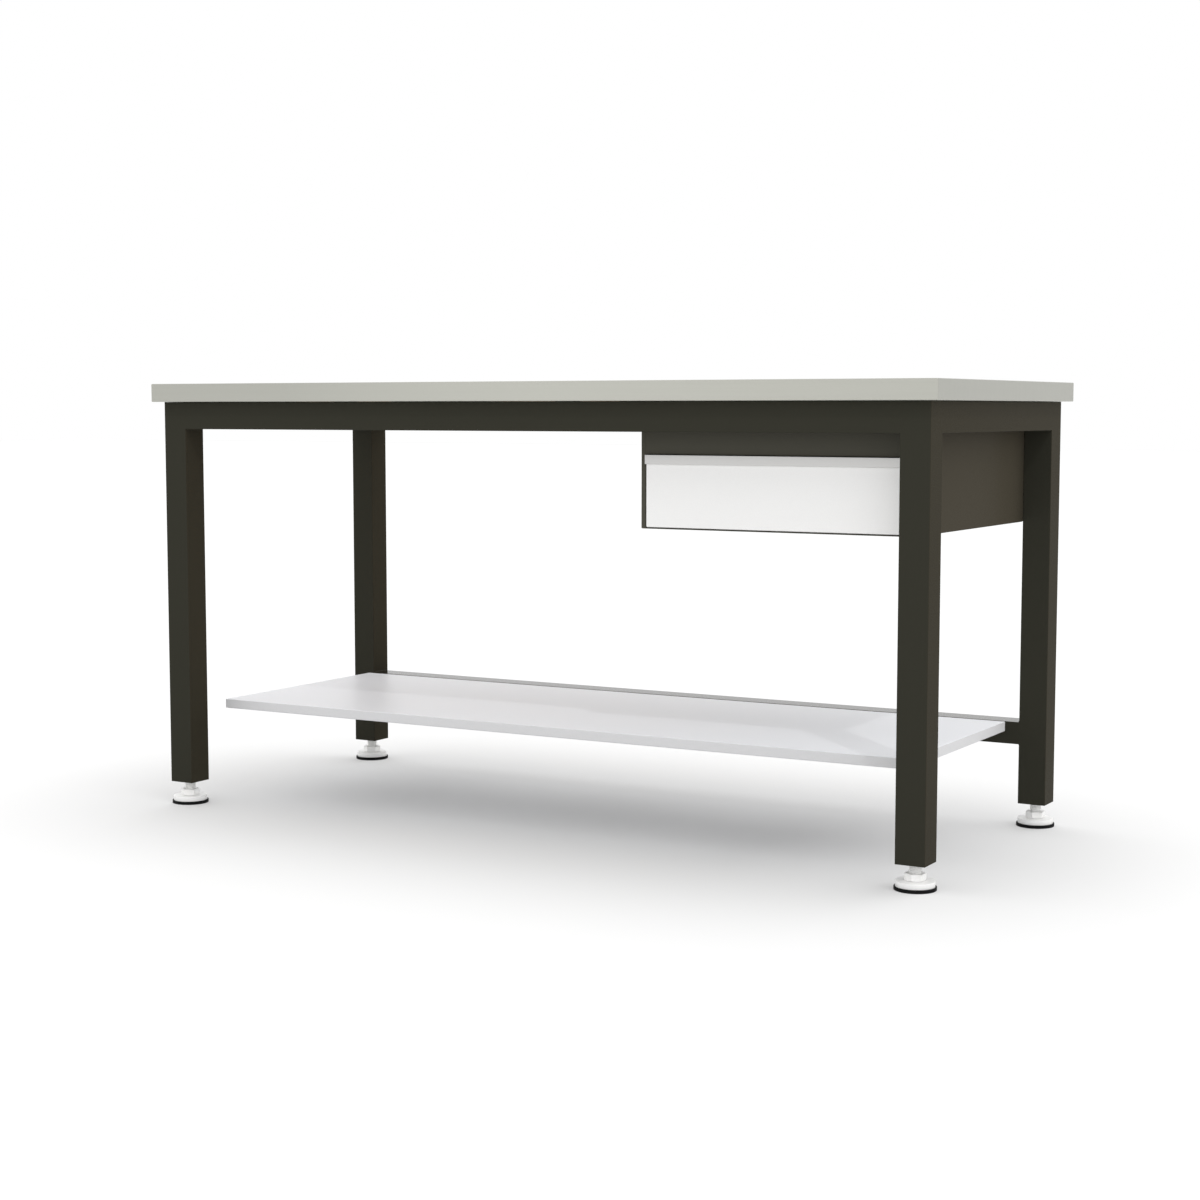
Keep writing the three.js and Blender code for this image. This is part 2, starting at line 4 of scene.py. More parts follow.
import bpy
import numpy as np
from mathutils import Euler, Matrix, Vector

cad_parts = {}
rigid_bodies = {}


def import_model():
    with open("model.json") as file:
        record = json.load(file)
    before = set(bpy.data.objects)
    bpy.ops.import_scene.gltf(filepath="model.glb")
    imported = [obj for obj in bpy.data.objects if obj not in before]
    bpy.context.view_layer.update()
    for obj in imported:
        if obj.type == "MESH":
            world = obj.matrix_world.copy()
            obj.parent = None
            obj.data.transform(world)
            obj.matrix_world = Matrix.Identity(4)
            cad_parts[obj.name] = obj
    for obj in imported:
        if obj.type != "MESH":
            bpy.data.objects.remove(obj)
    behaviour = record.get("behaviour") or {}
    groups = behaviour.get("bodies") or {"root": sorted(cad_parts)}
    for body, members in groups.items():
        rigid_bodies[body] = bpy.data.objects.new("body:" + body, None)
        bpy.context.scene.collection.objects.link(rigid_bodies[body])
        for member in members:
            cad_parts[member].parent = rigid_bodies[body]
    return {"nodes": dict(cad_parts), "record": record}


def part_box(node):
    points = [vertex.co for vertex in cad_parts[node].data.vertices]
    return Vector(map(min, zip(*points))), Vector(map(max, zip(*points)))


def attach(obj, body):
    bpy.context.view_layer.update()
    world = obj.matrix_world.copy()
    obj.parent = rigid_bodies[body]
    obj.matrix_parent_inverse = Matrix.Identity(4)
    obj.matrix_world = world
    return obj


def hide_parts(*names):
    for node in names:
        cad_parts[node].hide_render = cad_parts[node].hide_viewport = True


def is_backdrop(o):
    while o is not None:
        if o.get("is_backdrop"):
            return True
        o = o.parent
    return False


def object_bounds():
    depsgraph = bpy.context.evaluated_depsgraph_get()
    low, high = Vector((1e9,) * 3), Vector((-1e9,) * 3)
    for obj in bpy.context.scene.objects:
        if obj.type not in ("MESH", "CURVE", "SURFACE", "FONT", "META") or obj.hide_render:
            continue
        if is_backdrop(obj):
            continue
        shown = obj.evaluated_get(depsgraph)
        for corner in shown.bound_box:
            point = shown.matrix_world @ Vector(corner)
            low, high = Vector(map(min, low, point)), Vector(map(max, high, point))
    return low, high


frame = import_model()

# Dresses the workbench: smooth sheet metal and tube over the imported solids, finishes, studio and camera.
# Metres, +Z up, the front faces -Y.
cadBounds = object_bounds()
nodes = frame["nodes"]
mm = 0.001
turn = 2 * math.pi
corners = ("front_left", "front_right", "rear_left", "rear_right")
sides = ("left", "right")

print("loaded", len(nodes), "nodes")


# Camera at the photograph's view
view = {
    "imageSize": 1200,  # pixels, both ways
    "focalLength": 2098.3,  # pixels
    "sensorWidth": 36.0,  # millimetres
    "place": (2.2955, -3.9864, 0.8944),
    "yaw": 29.952,  # degrees to the left of +Y
    "pitch": 5.202,  # degrees down
}


def makeCamera():
    data = bpy.data.cameras.new("photo_camera")
    data.sensor_width = view["sensorWidth"]
    data.lens = view["focalLength"] * view["sensorWidth"] / view["imageSize"]
    data.clip_end = 100
    camera = bpy.data.objects.new("photo_camera", data)
    camera.location = view["place"]
    camera.rotation_euler = Euler((math.radians(90 - view["pitch"]), 0, math.radians(view["yaw"])))
    bpy.context.scene.collection.objects.link(camera)
    bpy.context.scene.camera = camera


makeCamera()
print("camera made")


# Shader maths: a Wire is a node's output that takes part in Python expressions.
class Wire:
    def __init__(self, finish, socket):
        self.finish = finish
        self.socket = socket

    def math(self, operation, *others):
        return self.finish.node("Math", {"operation": operation}, [self, *others])

    def __add__(self, other):
        return self.math("ADD", other)

    def __sub__(self, other):
        return self.math("SUBTRACT", other)

    def __rsub__(self, other):
        return self.finish.node("Math", {"operation": "SUBTRACT"}, [other, self])

    def __mul__(self, other):
        return self.math("MULTIPLY", other)

    __radd__ = __add__
    __rmul__ = __mul__


# A Finish is one material, or the world. Any node but the shader comes from node(): its type, its
# settings, then its sockets.
class Finish:
    def __init__(self, name, world=False):
        self.owner = bpy.data.worlds.new(name) if world else bpy.data.materials.new(name)
        self.owner.use_nodes = True
        self.tree = self.owner.node_tree
        self.tree.nodes.clear()
        self.output = self.tree.nodes.new("ShaderNodeOutputWorld" if world else "ShaderNodeOutputMaterial")

    def feed(self, socket, value):
        if isinstance(value, Wire):
            self.tree.links.new(value.socket, socket)
        else:
            socket.default_value = value

    def node(self, kind, settings=None, values=(), output=0):
        made = self.tree.nodes.new("ShaderNode" + kind)
        for key, value in (settings or {}).items():
            if key == "stops":
                self.setStops(made.color_ramp, value)
            else:
                setattr(made, key, value)
        pairs = values.items() if isinstance(values, dict) else enumerate(values)
        for key, value in pairs:
            self.feed(made.inputs[key], value)
        return Wire(self, made.outputs[output])

    # Stops are (place, grey).
    def setStops(self, ramp, stops):
        while len(ramp.elements) < len(stops):
            ramp.elements.new(0.5)
        for element, (place, grey) in zip(ramp.elements, stops):
            element.position = place
            element.color = (grey, grey, grey, 1)

    def objectPlace(self):
        return self.node("TexCoord", output="Object")

    # How far the surface faces along an axis, from -1 to 1.
    def along(self, axis):
        normal = self.node("NewGeometry", output="Normal")
        return self.node("VectorMath", {"operation": "DOT_PRODUCT"}, [normal, axis], 1)

    # One on faces square to an axis, nought on the others.
    def squareTo(self, axis):
        return self.along(axis).math("ABSOLUTE").math("GREATER_THAN", squareFace)

    def scaled(self, vector, factors):
        return self.node("VectorMath", {"operation": "MULTIPLY"}, [vector, factors])

    def toned(self, colour, tone):
        return self.node("VectorMath", {"operation": "SCALE"}, {0: colour, "Scale": tone})

    def noise(self, vector, scale, detail=2.0, roughness=0.5):
        sockets = {"Vector": vector, "Scale": scale, "Detail": detail, "Roughness": roughness}
        return self.node("TexNoise", None, sockets)

    def blendColours(self, factor, first, second):
        sockets = {0: factor, 6: (*first, 1), 7: (*second, 1)}
        return self.node("Mix", {"data_type": "RGBA"}, sockets, output=2)

    def blendVectors(self, factor, first, second):
        return self.node("Mix", {"data_type": "VECTOR"}, {0: factor, 4: first, 5: second}, output=1)

    def between(self, factor, low, high):
        return factor * (high - low) + low

    # The shader: the share runs through the values' range of roughness, the height gives the bump, and
    # metallic and specular come from the values where they are set.
    def shade(self, values, colour, share, height, coat=0.0):
        strength, distance = values["relief"]
        bump = {"Strength": strength, "Distance": distance, "Height": height}
        sockets = {
            "Base Color": colour,
            "Roughness": self.between(share, *values["roughness"]),
            "Coat Weight": coat,
            "Normal": self.node("Bump", None, bump),
        }
        for key, name in (("metallic", "Metallic"), ("specular", "Specular IOR Level")):
            if key in values:
                sockets[name] = values[key]
        shader = self.tree.nodes.new("ShaderNodeBsdfPrincipled")
        for name, value in sockets.items():
            self.feed(shader.inputs[name], value)
        self.tree.links.new(shader.outputs[0], self.output.inputs[0])
        return self.owner


# Finishes
squareFace = 0.7  # cosine above which a face counts as square to an axis

stainless = {
    "colour": (0.533, 0.534, 0.484),
    "paintedEndShade": 0.83,  # painted shade: the two ends, whose grain runs upwards, are made darker
    "roughness": (0.28, 0.42),
    "metallic": 0.8,
    "grainLong": 5.0,  # grain cycles per metre along the brushing
    "grainAcross": 1600.0,  # and across it
    "relief": (0.35, 0.02 * mm),  # the bump's strength and depth
    "streakLong": 0.9,  # broad streaks left by the belt
    "streakAcross": 75.0,
    "streakTone": (0.972, 1.028),
    "grainTone": (0.95, 1.05),
    "smudgeScale": 4.0,
    "smudgeTone": (0.985, 1.015),
    "halfLength": 0.93,
    # Painted shade along the sheet from its left end to its right: darker towards the left end and a little
    # towards the right
    "paintedShadeAlongX": ((0.0, 0.83), (0.2, 0.84), (0.42, 0.95), (0.55, 0.98), (0.8, 0.95), (1.0, 0.915)),
}


# The grain runs along X on the flat faces and the front, and up the two ends.
def makeStainless(values=stainless):
    finish = Finish("brushed_stainless")
    place = finish.objectPlace()
    onEnds = finish.squareTo((1, 0, 0))

    def brushed(long, across, detail):
        alongX = finish.scaled(place, (long, across, across))
        upEnds = finish.scaled(place, (across, across, long))
        return finish.noise(finish.blendVectors(onEnds, alongX, upEnds), 1.0, detail, 0.6)

    grain = brushed(values["grainLong"], values["grainAcross"], 3.0)
    streak = brushed(values["streakLong"], values["streakAcross"], 5.0)
    smudge = finish.noise(place, values["smudgeScale"], 4.0, 0.55)
    share = finish.node("SeparateXYZ", None, [place]) * (0.5 / values["halfLength"]) + 0.5
    # Painted shade: a tone ramp along X that darkens the sheet towards its ends.
    paintedShadeAlongX = finish.node("ValToRGB", {"stops": values["paintedShadeAlongX"]}, [share])
    tone = finish.between(grain, *values["grainTone"]) * finish.between(smudge, *values["smudgeTone"])
    tone = tone * finish.between(streak, *values["streakTone"])
    # Painted shade: the two ends are darker, and so is the sheet towards its ends along X.
    tone = tone * paintedShadeAlongX * finish.between(onEnds, 1.0, values["paintedEndShade"])
    colour = finish.toned(values["colour"], tone)
    return finish.shade(values, colour, grain * 0.6 + smudge * 0.4, grain)


# Powder coats. Each has two colours, painted light and shade: one for faces square to its axis, one for all
# the others, so that faces turned differently are lighter or darker.
powder = {
    "topGloss": 0.0,
    "peelScale": 300.0,  # the texture's waves per metre
    "grainScale": 1200.0,
    "grainTone": (0.94, 1.06),
    "cloudScale": 2.5,
    "cloudTone": (0.98, 1.02),
}
darkCoat = {
    **powder,
    "axis": (1, 0, 0),
    # Painted light: faces square to X are lighter and warmer than the others.
    "frame": ((0.0435, 0.0385, 0.0270), (0.0377, 0.0368, 0.0280)),
    # Painted light: the housing's fascia and other faces not square to X are lighter than its sides.
    "housing": ((0.0650, 0.0568, 0.0412), (0.0830, 0.0800, 0.0645)),
    "roughness": (0.22, 0.34),
    "specular": 0.004,
    "topGloss": 0.8,  # upward faces are rubbed smooth
    "peelScale": 420.0,
    "grainScale": 1500.0,
    "relief": (0.5, 0.015 * mm),
}
frontCoat = {
    **powder,
    "axis": (0, 1, 0),
    # Painted light: faces square to Y, such as the drawer's front, are brighter than its other faces.
    "litAndShadedColours": ((0.945, 0.942, 0.932), (0.88, 0.877, 0.867)),
    "roughness": (0.36, 0.48),
    "specular": 0.65,
    "relief": (0.5, 0.03 * mm),
}
shelfCoat = {
    **powder,
    "axis": (0, 0, 1),
    # Painted light and shade: the shelf's top is brighter and its upright folds are darker.
    "litAndShadedColours": ((0.918, 0.930, 0.970), (0.675, 0.675, 0.685)),
    "roughness": (0.34, 0.46),
    "specular": 0.45,
    "relief": (0.5, 0.012 * mm),
}


def makePowderCoat(name, litAndShadedColours, values):
    finish = Finish(name)
    # Painted light and shade: a face's colour depends on which way it looks.
    colour = finish.blendColours(finish.squareTo(values["axis"]), litAndShadedColours[1], litAndShadedColours[0])
    upward = finish.along((0, 0, 1)).math("GREATER_THAN", squareFace)
    place = finish.objectPlace()
    peel = finish.noise(place, values["peelScale"])
    grain = finish.noise(place, values["grainScale"], 1.0)
    cloud = finish.noise(place, values["cloudScale"], 3.0)
    tone = finish.between(grain, *values["grainTone"]) * finish.between(cloud, *values["cloudTone"])
    height, coat = peel * 0.7 + grain * 0.3, upward * values["topGloss"]
    return finish.shade(values, finish.toned(colour, tone), peel * 0.5 + cloud * 0.5, height, coat)


anodised = {
    "colour": (0.645, 0.64, 0.628),
    "roughness": (0.33, 0.43),
    "metallic": 0.5,
    "drawLines": 2200.0,  # lines per metre left by drawing, which run along X
    "lineTone": (0.96, 1.04),
    "cloudScale": 6.0,
    "cloudTone": (0.98, 1.02),
    "relief": (0.3, 0.02 * mm),
}


def makeAnodised(values=anodised):
    finish = Finish("satin_anodised_aluminium")
    place = finish.objectPlace()
    lines = finish.noise(finish.scaled(place, (2.0, values["drawLines"], values["drawLines"])), 1.0)
    cloud = finish.noise(place, values["cloudScale"])
    tone = finish.between(lines, *values["lineTone"]) * finish.between(cloud, *values["cloudTone"])
    return finish.shade(values, finish.toned(values["colour"], tone), lines, lines)


zincPlate = {
    "slide": {"colour": (0.60, 0.62, 0.64), "metallic": 0.9, "roughness": (0.24, 0.38)},
    "foot": {"colour": (0.97, 0.97, 0.975), "metallic": 0.05, "roughness": (0.32, 0.46)},
    "spangleScale": 260.0,
    "hazeScale": 18.0,
    "hazeTone": 0.96,
    "warmth": (1, 0.995, 0.96),  # the haze's other end is this much yellower
    "spangleTone": (0.95, 1.04),
    "relief": (0.2, 0.03 * mm),
}


def makeZinc(name, use):
    finish, values = Finish(name), {**zincPlate, **zincPlate[use]}
    place = finish.objectPlace()
    spangle = finish.noise(place, values["spangleScale"], 3.0, 0.6)
    haze = finish.noise(place, values["hazeScale"], 3.0)
    darker = [part * values["hazeTone"] for part in values["colour"]]
    warmer = [part * share for part, share in zip(values["colour"], values["warmth"])]
    tone = finish.between(spangle, *values["spangleTone"])
    colour = finish.toned(finish.blendColours(haze, darker, warmer), tone)
    return finish.shade(values, colour, spangle * 0.5 + haze * 0.5, spangle)


soleRubber = {
    "colour": (0.004, 0.004, 0.0044),
    "dust": (0.02, 0.02, 0.019),
    "grainScale": 900.0,
    "dustScale": 60.0,
    "dustCover": 0.25,
    "dustFrom": 0.62,  # the noise's value above which dust lies
    "roughness": (0.54, 0.7),
    "specular": 0.12,
    "relief": (0.4, 0.06 * mm),
}


def makeRubber(values=soleRubber):
    finish = Finish("black_sole_rubber")
    place = finish.objectPlace()
    grain = finish.noise(place, values["grainScale"], 3.0, 0.6)
    dust = finish.noise(place, values["dustScale"], 4.0, 0.6).math("GREATER_THAN", values["dustFrom"])
    colour = finish.blendColours(dust * values["dustCover"], values["colour"], values["dust"])
    return finish.shade(values, colour, grain, grain)


chipboard = {
    "pale": (0.56, 0.39, 0.22),
    "dark": (0.27, 0.155, 0.07),
    "flakes": 210.0,  # per metre
    "flakeShape": (0.45, 1.0, 1.0),  # the flakes lie long in X
    "dustGrain": 620.0,
    "mottleScale": 40.0,
    "roughness": (0.75, 0.95),
    "specular": 0.2,
    "relief": (0.6, 0.25 * mm),
}


def makeChipboard(values=chipboard):
    finish = Finish("raw_chipboard")
    place = finish.objectPlace()
    lying = finish.scaled(place, values["flakeShape"])
    sockets = {"Vector": lying, "Scale": values["flakes"]}
    flake = finish.node("SeparateXYZ", None, [finish.node("TexVoronoi", None, sockets, "Color")])
    fine = finish.noise(place, values["dustGrain"], 3.0, 0.7)
    tone = flake * 0.55 + fine * 0.35 + finish.noise(place, values["mottleScale"]) * 0.1
    return finish.shade(values, finish.blendColours(tone, values["dark"], values["pale"]), fine, tone)


looks = {
    "stainless": makeStainless(),
    "board": makeChipboard(),
    "frame_paint": makePowderCoat("dark_frame_powder_coat", darkCoat["frame"], darkCoat),
    "housing_paint": makePowderCoat("dark_housing_powder_coat", darkCoat["housing"], darkCoat),
    "pale_paint": makePowderCoat("pale_front_powder_coat", frontCoat["litAndShadedColours"], frontCoat),
    "shelf_paint": makePowderCoat("pale_shelf_powder_coat", shelfCoat["litAndShadedColours"], shelfCoat),
    "aluminium": makeAnodised(),
    "zinc": makeZinc("bright_zinc_plate", "slide"),
    "foot_metal": makeZinc("pale_foot_zinc", "foot"),
    "rubber": makeRubber(),
}
print("finishes made:", ", ".join(looks))


# Surfaces: outlines as numpy arrays, swept or stacked into closed meshes.

# An arc: the centre plus the radii times (cos, sin) of evenly spaced angles.
def arc(centre, radii, start, end, steps):
    angles = np.linspace(start, end, steps + 1)
    return np.stack([centre[0] + radii[0] * np.cos(angles), centre[1] + radii[1] * np.sin(angles)], 1)


# A rectangle with round corners, anticlockwise from the right: corner k is a quarter arc about its own
# centre, with one more point beside each end so that the flats keep their own shading.
def roundedLoop(width, height, radii, steps=6, support=0.4 * mm):
    radii = np.broadcast_to(radii, 4)
    parts = []
    for k, (signX, signY) in enumerate(((1, 1), (-1, 1), (-1, -1), (1, -1))):
        radius = radii[k]
        centre = (signX * (width / 2 - radius), signY * (height / 2 - radius))
        start = k * turn / 4
        bend = arc(centre, (radius, radius), start, start + turn / 4, steps)
        ahead = np.array([math.sin(start), -math.cos(start)]) * support
        behind = np.array([-math.cos(start), -math.sin(start)]) * support
        parts += [bend[:1] + ahead, bend, bend[-1:] + behind]
    return np.concatenate(parts)


# Joins a grid of points, rows by columns, into four-sided faces. Rows or columns close on themselves
# where asked, and one face each closes what stays open.
def gridMesh(grid, wrapRows=False, wrapColumns=True, capRows=True, capColumns=True):
    rows, columns = grid.shape[:2]
    i = np.arange(rows if wrapRows else rows - 1)
    j = np.arange(columns if wrapColumns else columns - 1)
    i, j = np.meshgrid(i, j, indexing="ij")
    nextRow, nextColumn = (i + 1) % rows, (j + 1) % columns
    here, beyond = i * columns, nextRow * columns
    faces = np.stack([here + j, here + nextColumn, beyond + nextColumn, beyond + j], -1)
    faces = faces.reshape(-1, 4).tolist()
    if capRows and not wrapRows:
        faces.append(list(range(columns))[::-1])
        faces.append(list(range((rows - 1) * columns, rows * columns)))
    if capColumns and not wrapColumns:
        faces.append(list(range(0, rows * columns, columns)))
        faces.append(list(range(columns - 1, rows * columns, columns))[::-1])
    return grid.reshape(-1, 3), faces


# Six times the volume: the sum of each triangle's corner dotted with the cross product of the others.
# It falls below zero where the faces point inwards.
def pointsInwards(points, faces):
    total = 0.0
    for face in faces:
        fan = points[face]
        total += np.sum(np.cross(fan[1:-1], fan[2:]) @ fan[0])
    return total < 0


def outwards(part):
    points, faces = part
    return (points, [face[::-1] for face in faces]) if pointsInwards(points, faces) else part


# Puts closed parts into one.
def together(parts):
    points, faces, count = [], [], 0
    for partPoints, partFaces in map(outwards, parts):
        points.append(partPoints)
        faces += [[index + count for index in face] for face in partFaces]
        count += len(partPoints)
    return np.concatenate(points), faces


# Where a shape's own axes point in the bench's frame: row k is where its axis k goes. A run along Y
# keeps its outline's first axis on X in "alongY", and on Z in "+y".
axisTurns = {
    "+x": np.array([[0, 1, 0], [0, 0, 1], [1, 0, 0]], float),
    "+y": np.array([[0, 0, 1], [1, 0, 0], [0, 1, 0]], float),
    "+z": np.eye(3),
    "-x": np.array([[0, 0, 1], [0, 1, 0], [-1, 0, 0]], float),
    "-y": np.array([[1, 0, 0], [0, 0, 1], [0, -1, 0]], float),
    "-z": np.array([[0, 1, 0], [1, 0, 0], [0, 0, -1]], float),
    "alongY": np.array([[1, 0, 0], [0, 0, 1], [0, 1, 0]], float),
}


def moved(part, offset, facing="+z"):
    return part[0] @ axisTurns[facing] + offset, part[1]


# Degrees between two faces beyond which their edge stays sharp
creases = {"sheet": 32, "bead": 60, "screw": 40, "thread": 50, "hexagon": 25, "disc": 40}


def addPiece(name, part, body, slot, replaced=None, crease="sheet"):
    points, faces = outwards(part)
    mesh = bpy.data.meshes.new(name)
    mesh.from_pydata(points.tolist(), [], faces)
    mesh.polygons.foreach_set("use_smooth", [True] * len(mesh.polygons))
    mesh.set_sharp_from_angle(angle=math.radians(creases[crease]))
    mesh.materials.append(looks[slot])
    piece = bpy.data.objects.new(name, mesh)
    bpy.context.scene.collection.objects.link(piece)
    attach(piece, body)
    if replaced:
        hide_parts(replaced)


# A node's lowest and highest corners as arrays.
def boxOf(node):
    return np.array(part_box(node), float)


# The middle of a node's box, and its size along a shape's own axes.
def nodeFrame(node, facing):
    low, high = boxOf(node)
    return (low + high) / 2, np.abs(axisTurns[facing] @ (high - low))


# An outline lifted to a height.
def lifted(outline, height):
    return np.column_stack([outline, np.full(len(outline), height)])


# A closed outline carried straight along an axis, from one end to the other.
def run(outline, length):
    return gridMesh(np.array([lifted(outline, -length / 2), lifted(outline, length / 2)]))


# Points round an axis: the radius times (cos, sin) of the angle, at the height. All three are arrays.
def roundGrid(radius, angle, height):
    radius, angle, height = np.broadcast_arrays(radius, angle, height)
    return np.stack([radius * np.cos(angle), radius * np.sin(angle), height], 2)


# Frame of square tube. The legs' outline changes along their length: where a rail is welded on and
# ground flush, the corners beside it are square.
tube = {
    "wall": 2 * mm,
    "corner": 1.4 * mm,
    "endRound": 0.4 * mm,
    "flush": 0.05 * mm,  # corner radius of a ground joint
    "step": 0.3 * mm,
    "seat": 0.3 * mm,  # the gap in the CAD model that the weld fills
    "steps": 6,
}
upperRail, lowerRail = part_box("front_rail"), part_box("lower_rear_rail")
railBottom, railTop = upperRail[0][2], upperRail[1][2]
legInside = upperRail[1][0] + tube["seat"]
legBack = upperRail[1][1] + tube["seat"]  # the front legs' rear face


# Rings up the outside, over the end and down the bore: inset is the distance in from the outside.
def makeLeg(corner, values=tube):
    low, high = boxOf("leg_" + corner)
    size, wall, end = high[0] - low[0], values["wall"], values["endRound"]
    isFront = "front" in corner
    inX, inY = (1 if "left" in corner else -1), (1 if isFront else -1)
    signs = ((1, 1), (-1, 1), (-1, -1), (1, -1))
    beside = {
        "top": [signX == inX or signY == inY for signX, signY in signs],
        "low": [signX == inX and not isFront for signX, signY in signs],
        "free": [False] * 4,
    }
    zones = [(railBottom, "free", "top")]
    if not isFront:
        zones = [(lowerRail[0][2], "free", "low"), (lowerRail[1][2], "low", "free")] + zones
    foot = arc((end, low[2] + end), (end, end), turn * 3 / 4, turn / 2, 2)
    stations = [(level, inset, "free") for inset, level in foot]
    for level, below, above in zones:
        stations += [(level - values["step"], 0, below), (level, 0, above)]
    stations.append((high[2], 0, "top"))
    bore = [(high[2], wall, "free"), (low[2], wall, "free")]
    rings = []
    for level, inset, zone in stations + bore:
        radii = np.where(beside[zone], values["flush"], values["corner"])
        radii = np.maximum(radii - inset, values["flush"])
        loop = roundedLoop(size - 2 * inset, size - 2 * inset, radii, values["steps"])
        rings.append(lifted(loop, level))
    part = gridMesh(np.array(rings), wrapRows=True)
    middle = (low + high) / 2 * (1, 1, 0)
    addPiece("leg_tube_" + corner, moved(part, middle), "frame", "frame_paint", "leg_" + corner)


def makeRail(node, facing, values=tube):
    centre, (width, height, length) = nodeFrame(node, facing)
    outline = roundedLoop(width, height, values["corner"], values["steps"])
    part = run(outline, length + 2 * values["seat"])
    addPiece(node + "_tube", moved(part, centre, facing), "frame", "frame_paint", node)


for corner in corners:
    makeLeg(corner)
for node in ("front_rail", "rear_rail", "lower_rear_rail"):
    makeRail(node, "+x")
for node in ("end_rail_left", "end_rail_right", "bearer_left", "bearer_middle"):
    makeRail(node, "+y")
print("frame tubes made")


# Weld beads in the inner corners of the frame. A bead is a quarter round carried along a line: its
# radius grows over each ripple and drops back at the next, and it tapers at both ends.
bead = {
    "size": 3.2 * mm,
    "pitch": 2.4 * mm,
    "ripple": 0.16,
    "inset": 3 * mm,  # how far a bead stops short of an edge
    "ringsPerRipple": 4,
    "arcSteps": 4,
}


def beadPart(start, end, along1, along2, values=bead):
    start, end, along1, along2 = (np.array(point, float) for point in (start, end, along1, along2))
    length = np.linalg.norm(end - start)
    rings = int(length / values["pitch"]) * values["ringsPerRipple"] + 1
    at = np.linspace(0, length, rings)
    ripple = (at / values["pitch"]) % 1
    taper = np.sqrt(np.clip(np.minimum(at, length - at) / values["size"], 0.02, 1))
    radius = values["size"] * (1 - values["ripple"] * (1 - ripple)) * taper
    angle = np.linspace(0, turn / 4, values["arcSteps"] + 1)
    across = np.cos(angle)[:, None] * along1 + np.sin(angle)[:, None] * along2
    path = start + (end - start) * (at / length)[:, None]
    grid = path[:, None] + radius[:, None, None] * across[None]
    return gridMesh(np.concatenate([grid, path[:, None]], 1))


def makeBeads(inset=bead["inset"]):
    x, y, down = legInside, -legBack, (0, 0, -1)
    reach = upperRail[1][1] - upperRail[0][1] - inset
    parts = []

    def add(*line):
        parts.append(beadPart(*line))

    for inX in (1, -1):
        legX, awayX = -inX * x, (inX, 0, 0)
        for inY in (1, -1):
            legY, awayY = -inY * y, (0, inY, 0)
            # under the long rail, under the end rail, and up the inside corner
            add((legX, legY - inY * inset, railBottom), (legX, legY - inY * reach, railBottom), awayX, down)
            add((legX - inX * inset, legY, railBottom), (legX - inX * reach, legY, railBottom), awayY, down)
            add((legX, legY, railBottom + inset), (legX, legY, railTop - inset), awayX, awayY)
        for level, up in ((lowerRail[0][2], -1), (lowerRail[1][2], 1)):
            add((legX, y + inset, level), (legX, y + reach, level), awayX, (0, 0, up))
    for node in ("bearer_left", "bearer_middle"):
        low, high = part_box(node)
        for sideX, along in ((low[0], -1), (high[0], 1)):
            for inY in (1, -1):
                bottom, top = (sideX, -inY * y, low[2] + inset), (sideX, -inY * y, railTop - inset)
                add(bottom, top, (along, 0, 0), (0, inY, 0))
    for number in (1, 2, 3):
        low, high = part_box(f"shelf_arm_{number}")
        for sideX, along in ((low[0], -1), (high[0], 1)):
            bottom, top = (sideX, y, low[2] + inset), (sideX, y, high[2] - inset)
            add(bottom, top, (along, 0, 0), (0, -1, 0))
    addPiece("frame_weld_beads", together(parts), "frame", "frame_paint", None, "bead")


makeBeads()
print("weld beads made")


# Folded pan: rounded rectangles stacked from the middle of the closed face, round the folds, under the
# rim and back up the inside. Each is the outline moved in by the path's inset, at the path's height.
def panPart(width, depth, height, sheet, corner, fold, rim, steps=6):
    least, support = 0.3 * mm, 0.5 * mm
    inner = max(fold - sheet, least)
    bend = sheet + inner
    path = np.concatenate([
        [(fold + support, height)],
        arc((fold, height - fold), (fold, fold), turn / 4, turn / 2, steps),
        [(0, height - fold - support), (0, fold + support)],
        arc((fold, fold), (fold, fold), turn / 2, turn * 3 / 4, steps),
        [(fold + support, 0), (rim - least, 0), (rim, least)],
        [(rim, sheet - least), (rim - least, sheet), (bend + support, sheet)],
        arc((bend, bend), (inner, inner), turn * 3 / 4, turn / 2, steps),
        [(sheet, bend + support), (sheet, height - bend - support)],
        arc((bend, height - bend), (inner, inner), turn / 2, turn / 4, steps),
        [(bend + support, height - sheet)],
    ])
    rings = []
    for inset, level in path:
        loop = roundedLoop(width - 2 * inset, depth - 2 * inset, max(corner - inset, least), steps)
        rings.append(lifted(loop, level - height / 2))
    return gridMesh(np.array(rings))


def makePan(node, name, facing, body, slot, values):
    centre, (width, depth, height) = nodeFrame(node, facing)
    addPiece(name, moved(panPart(width, depth, height, *values), centre, facing), body, slot, node)


# sheet thickness, radius of the upright corners, outside radius of the folds, width of the rim
pans = {
    "worktop": (1.2 * mm, 1.3 * mm, 2.0 * mm, 30 * mm),
    "shelf": (1.2 * mm, 1.3 * mm, 2.0 * mm, 15 * mm),
    "drawerFront": (1.2 * mm, 2.7 * mm, 2.0 * mm, 14 * mm),
    "drawerBox": (1.0 * mm, 2.5 * mm, 1.8 * mm, 7 * mm),
    "housingBack": (1.2 * mm, 3.2 * mm, 2.2 * mm, 15 * mm),
}
makePan("worktop_skin", "worktop_sheet", "+z", "frame", "stainless", pans["worktop"])
makePan("shelf_tray", "shelf_sheet", "+z", "frame", "shelf_paint", pans["shelf"])
makePan("drawer_front", "drawer_front_sheet", "-y", "drawer", "pale_paint", pans["drawerFront"])
makePan("drawer_box", "drawer_box_sheet", "-z", "drawer", "pale_paint", pans["drawerBox"])
makePan("housing_back", "housing_back_sheet", "+y", "frame", "housing_paint", pans["housingBack"])
print("folded sheets made")


# sheet thickness and outside radius of the folds
channels = {
    "slide": (1.3 * mm, 1.9 * mm),
    "spacer": (1.2 * mm, 2.2 * mm),
    "stiffener": (1.5 * mm, 2.5 * mm),
}


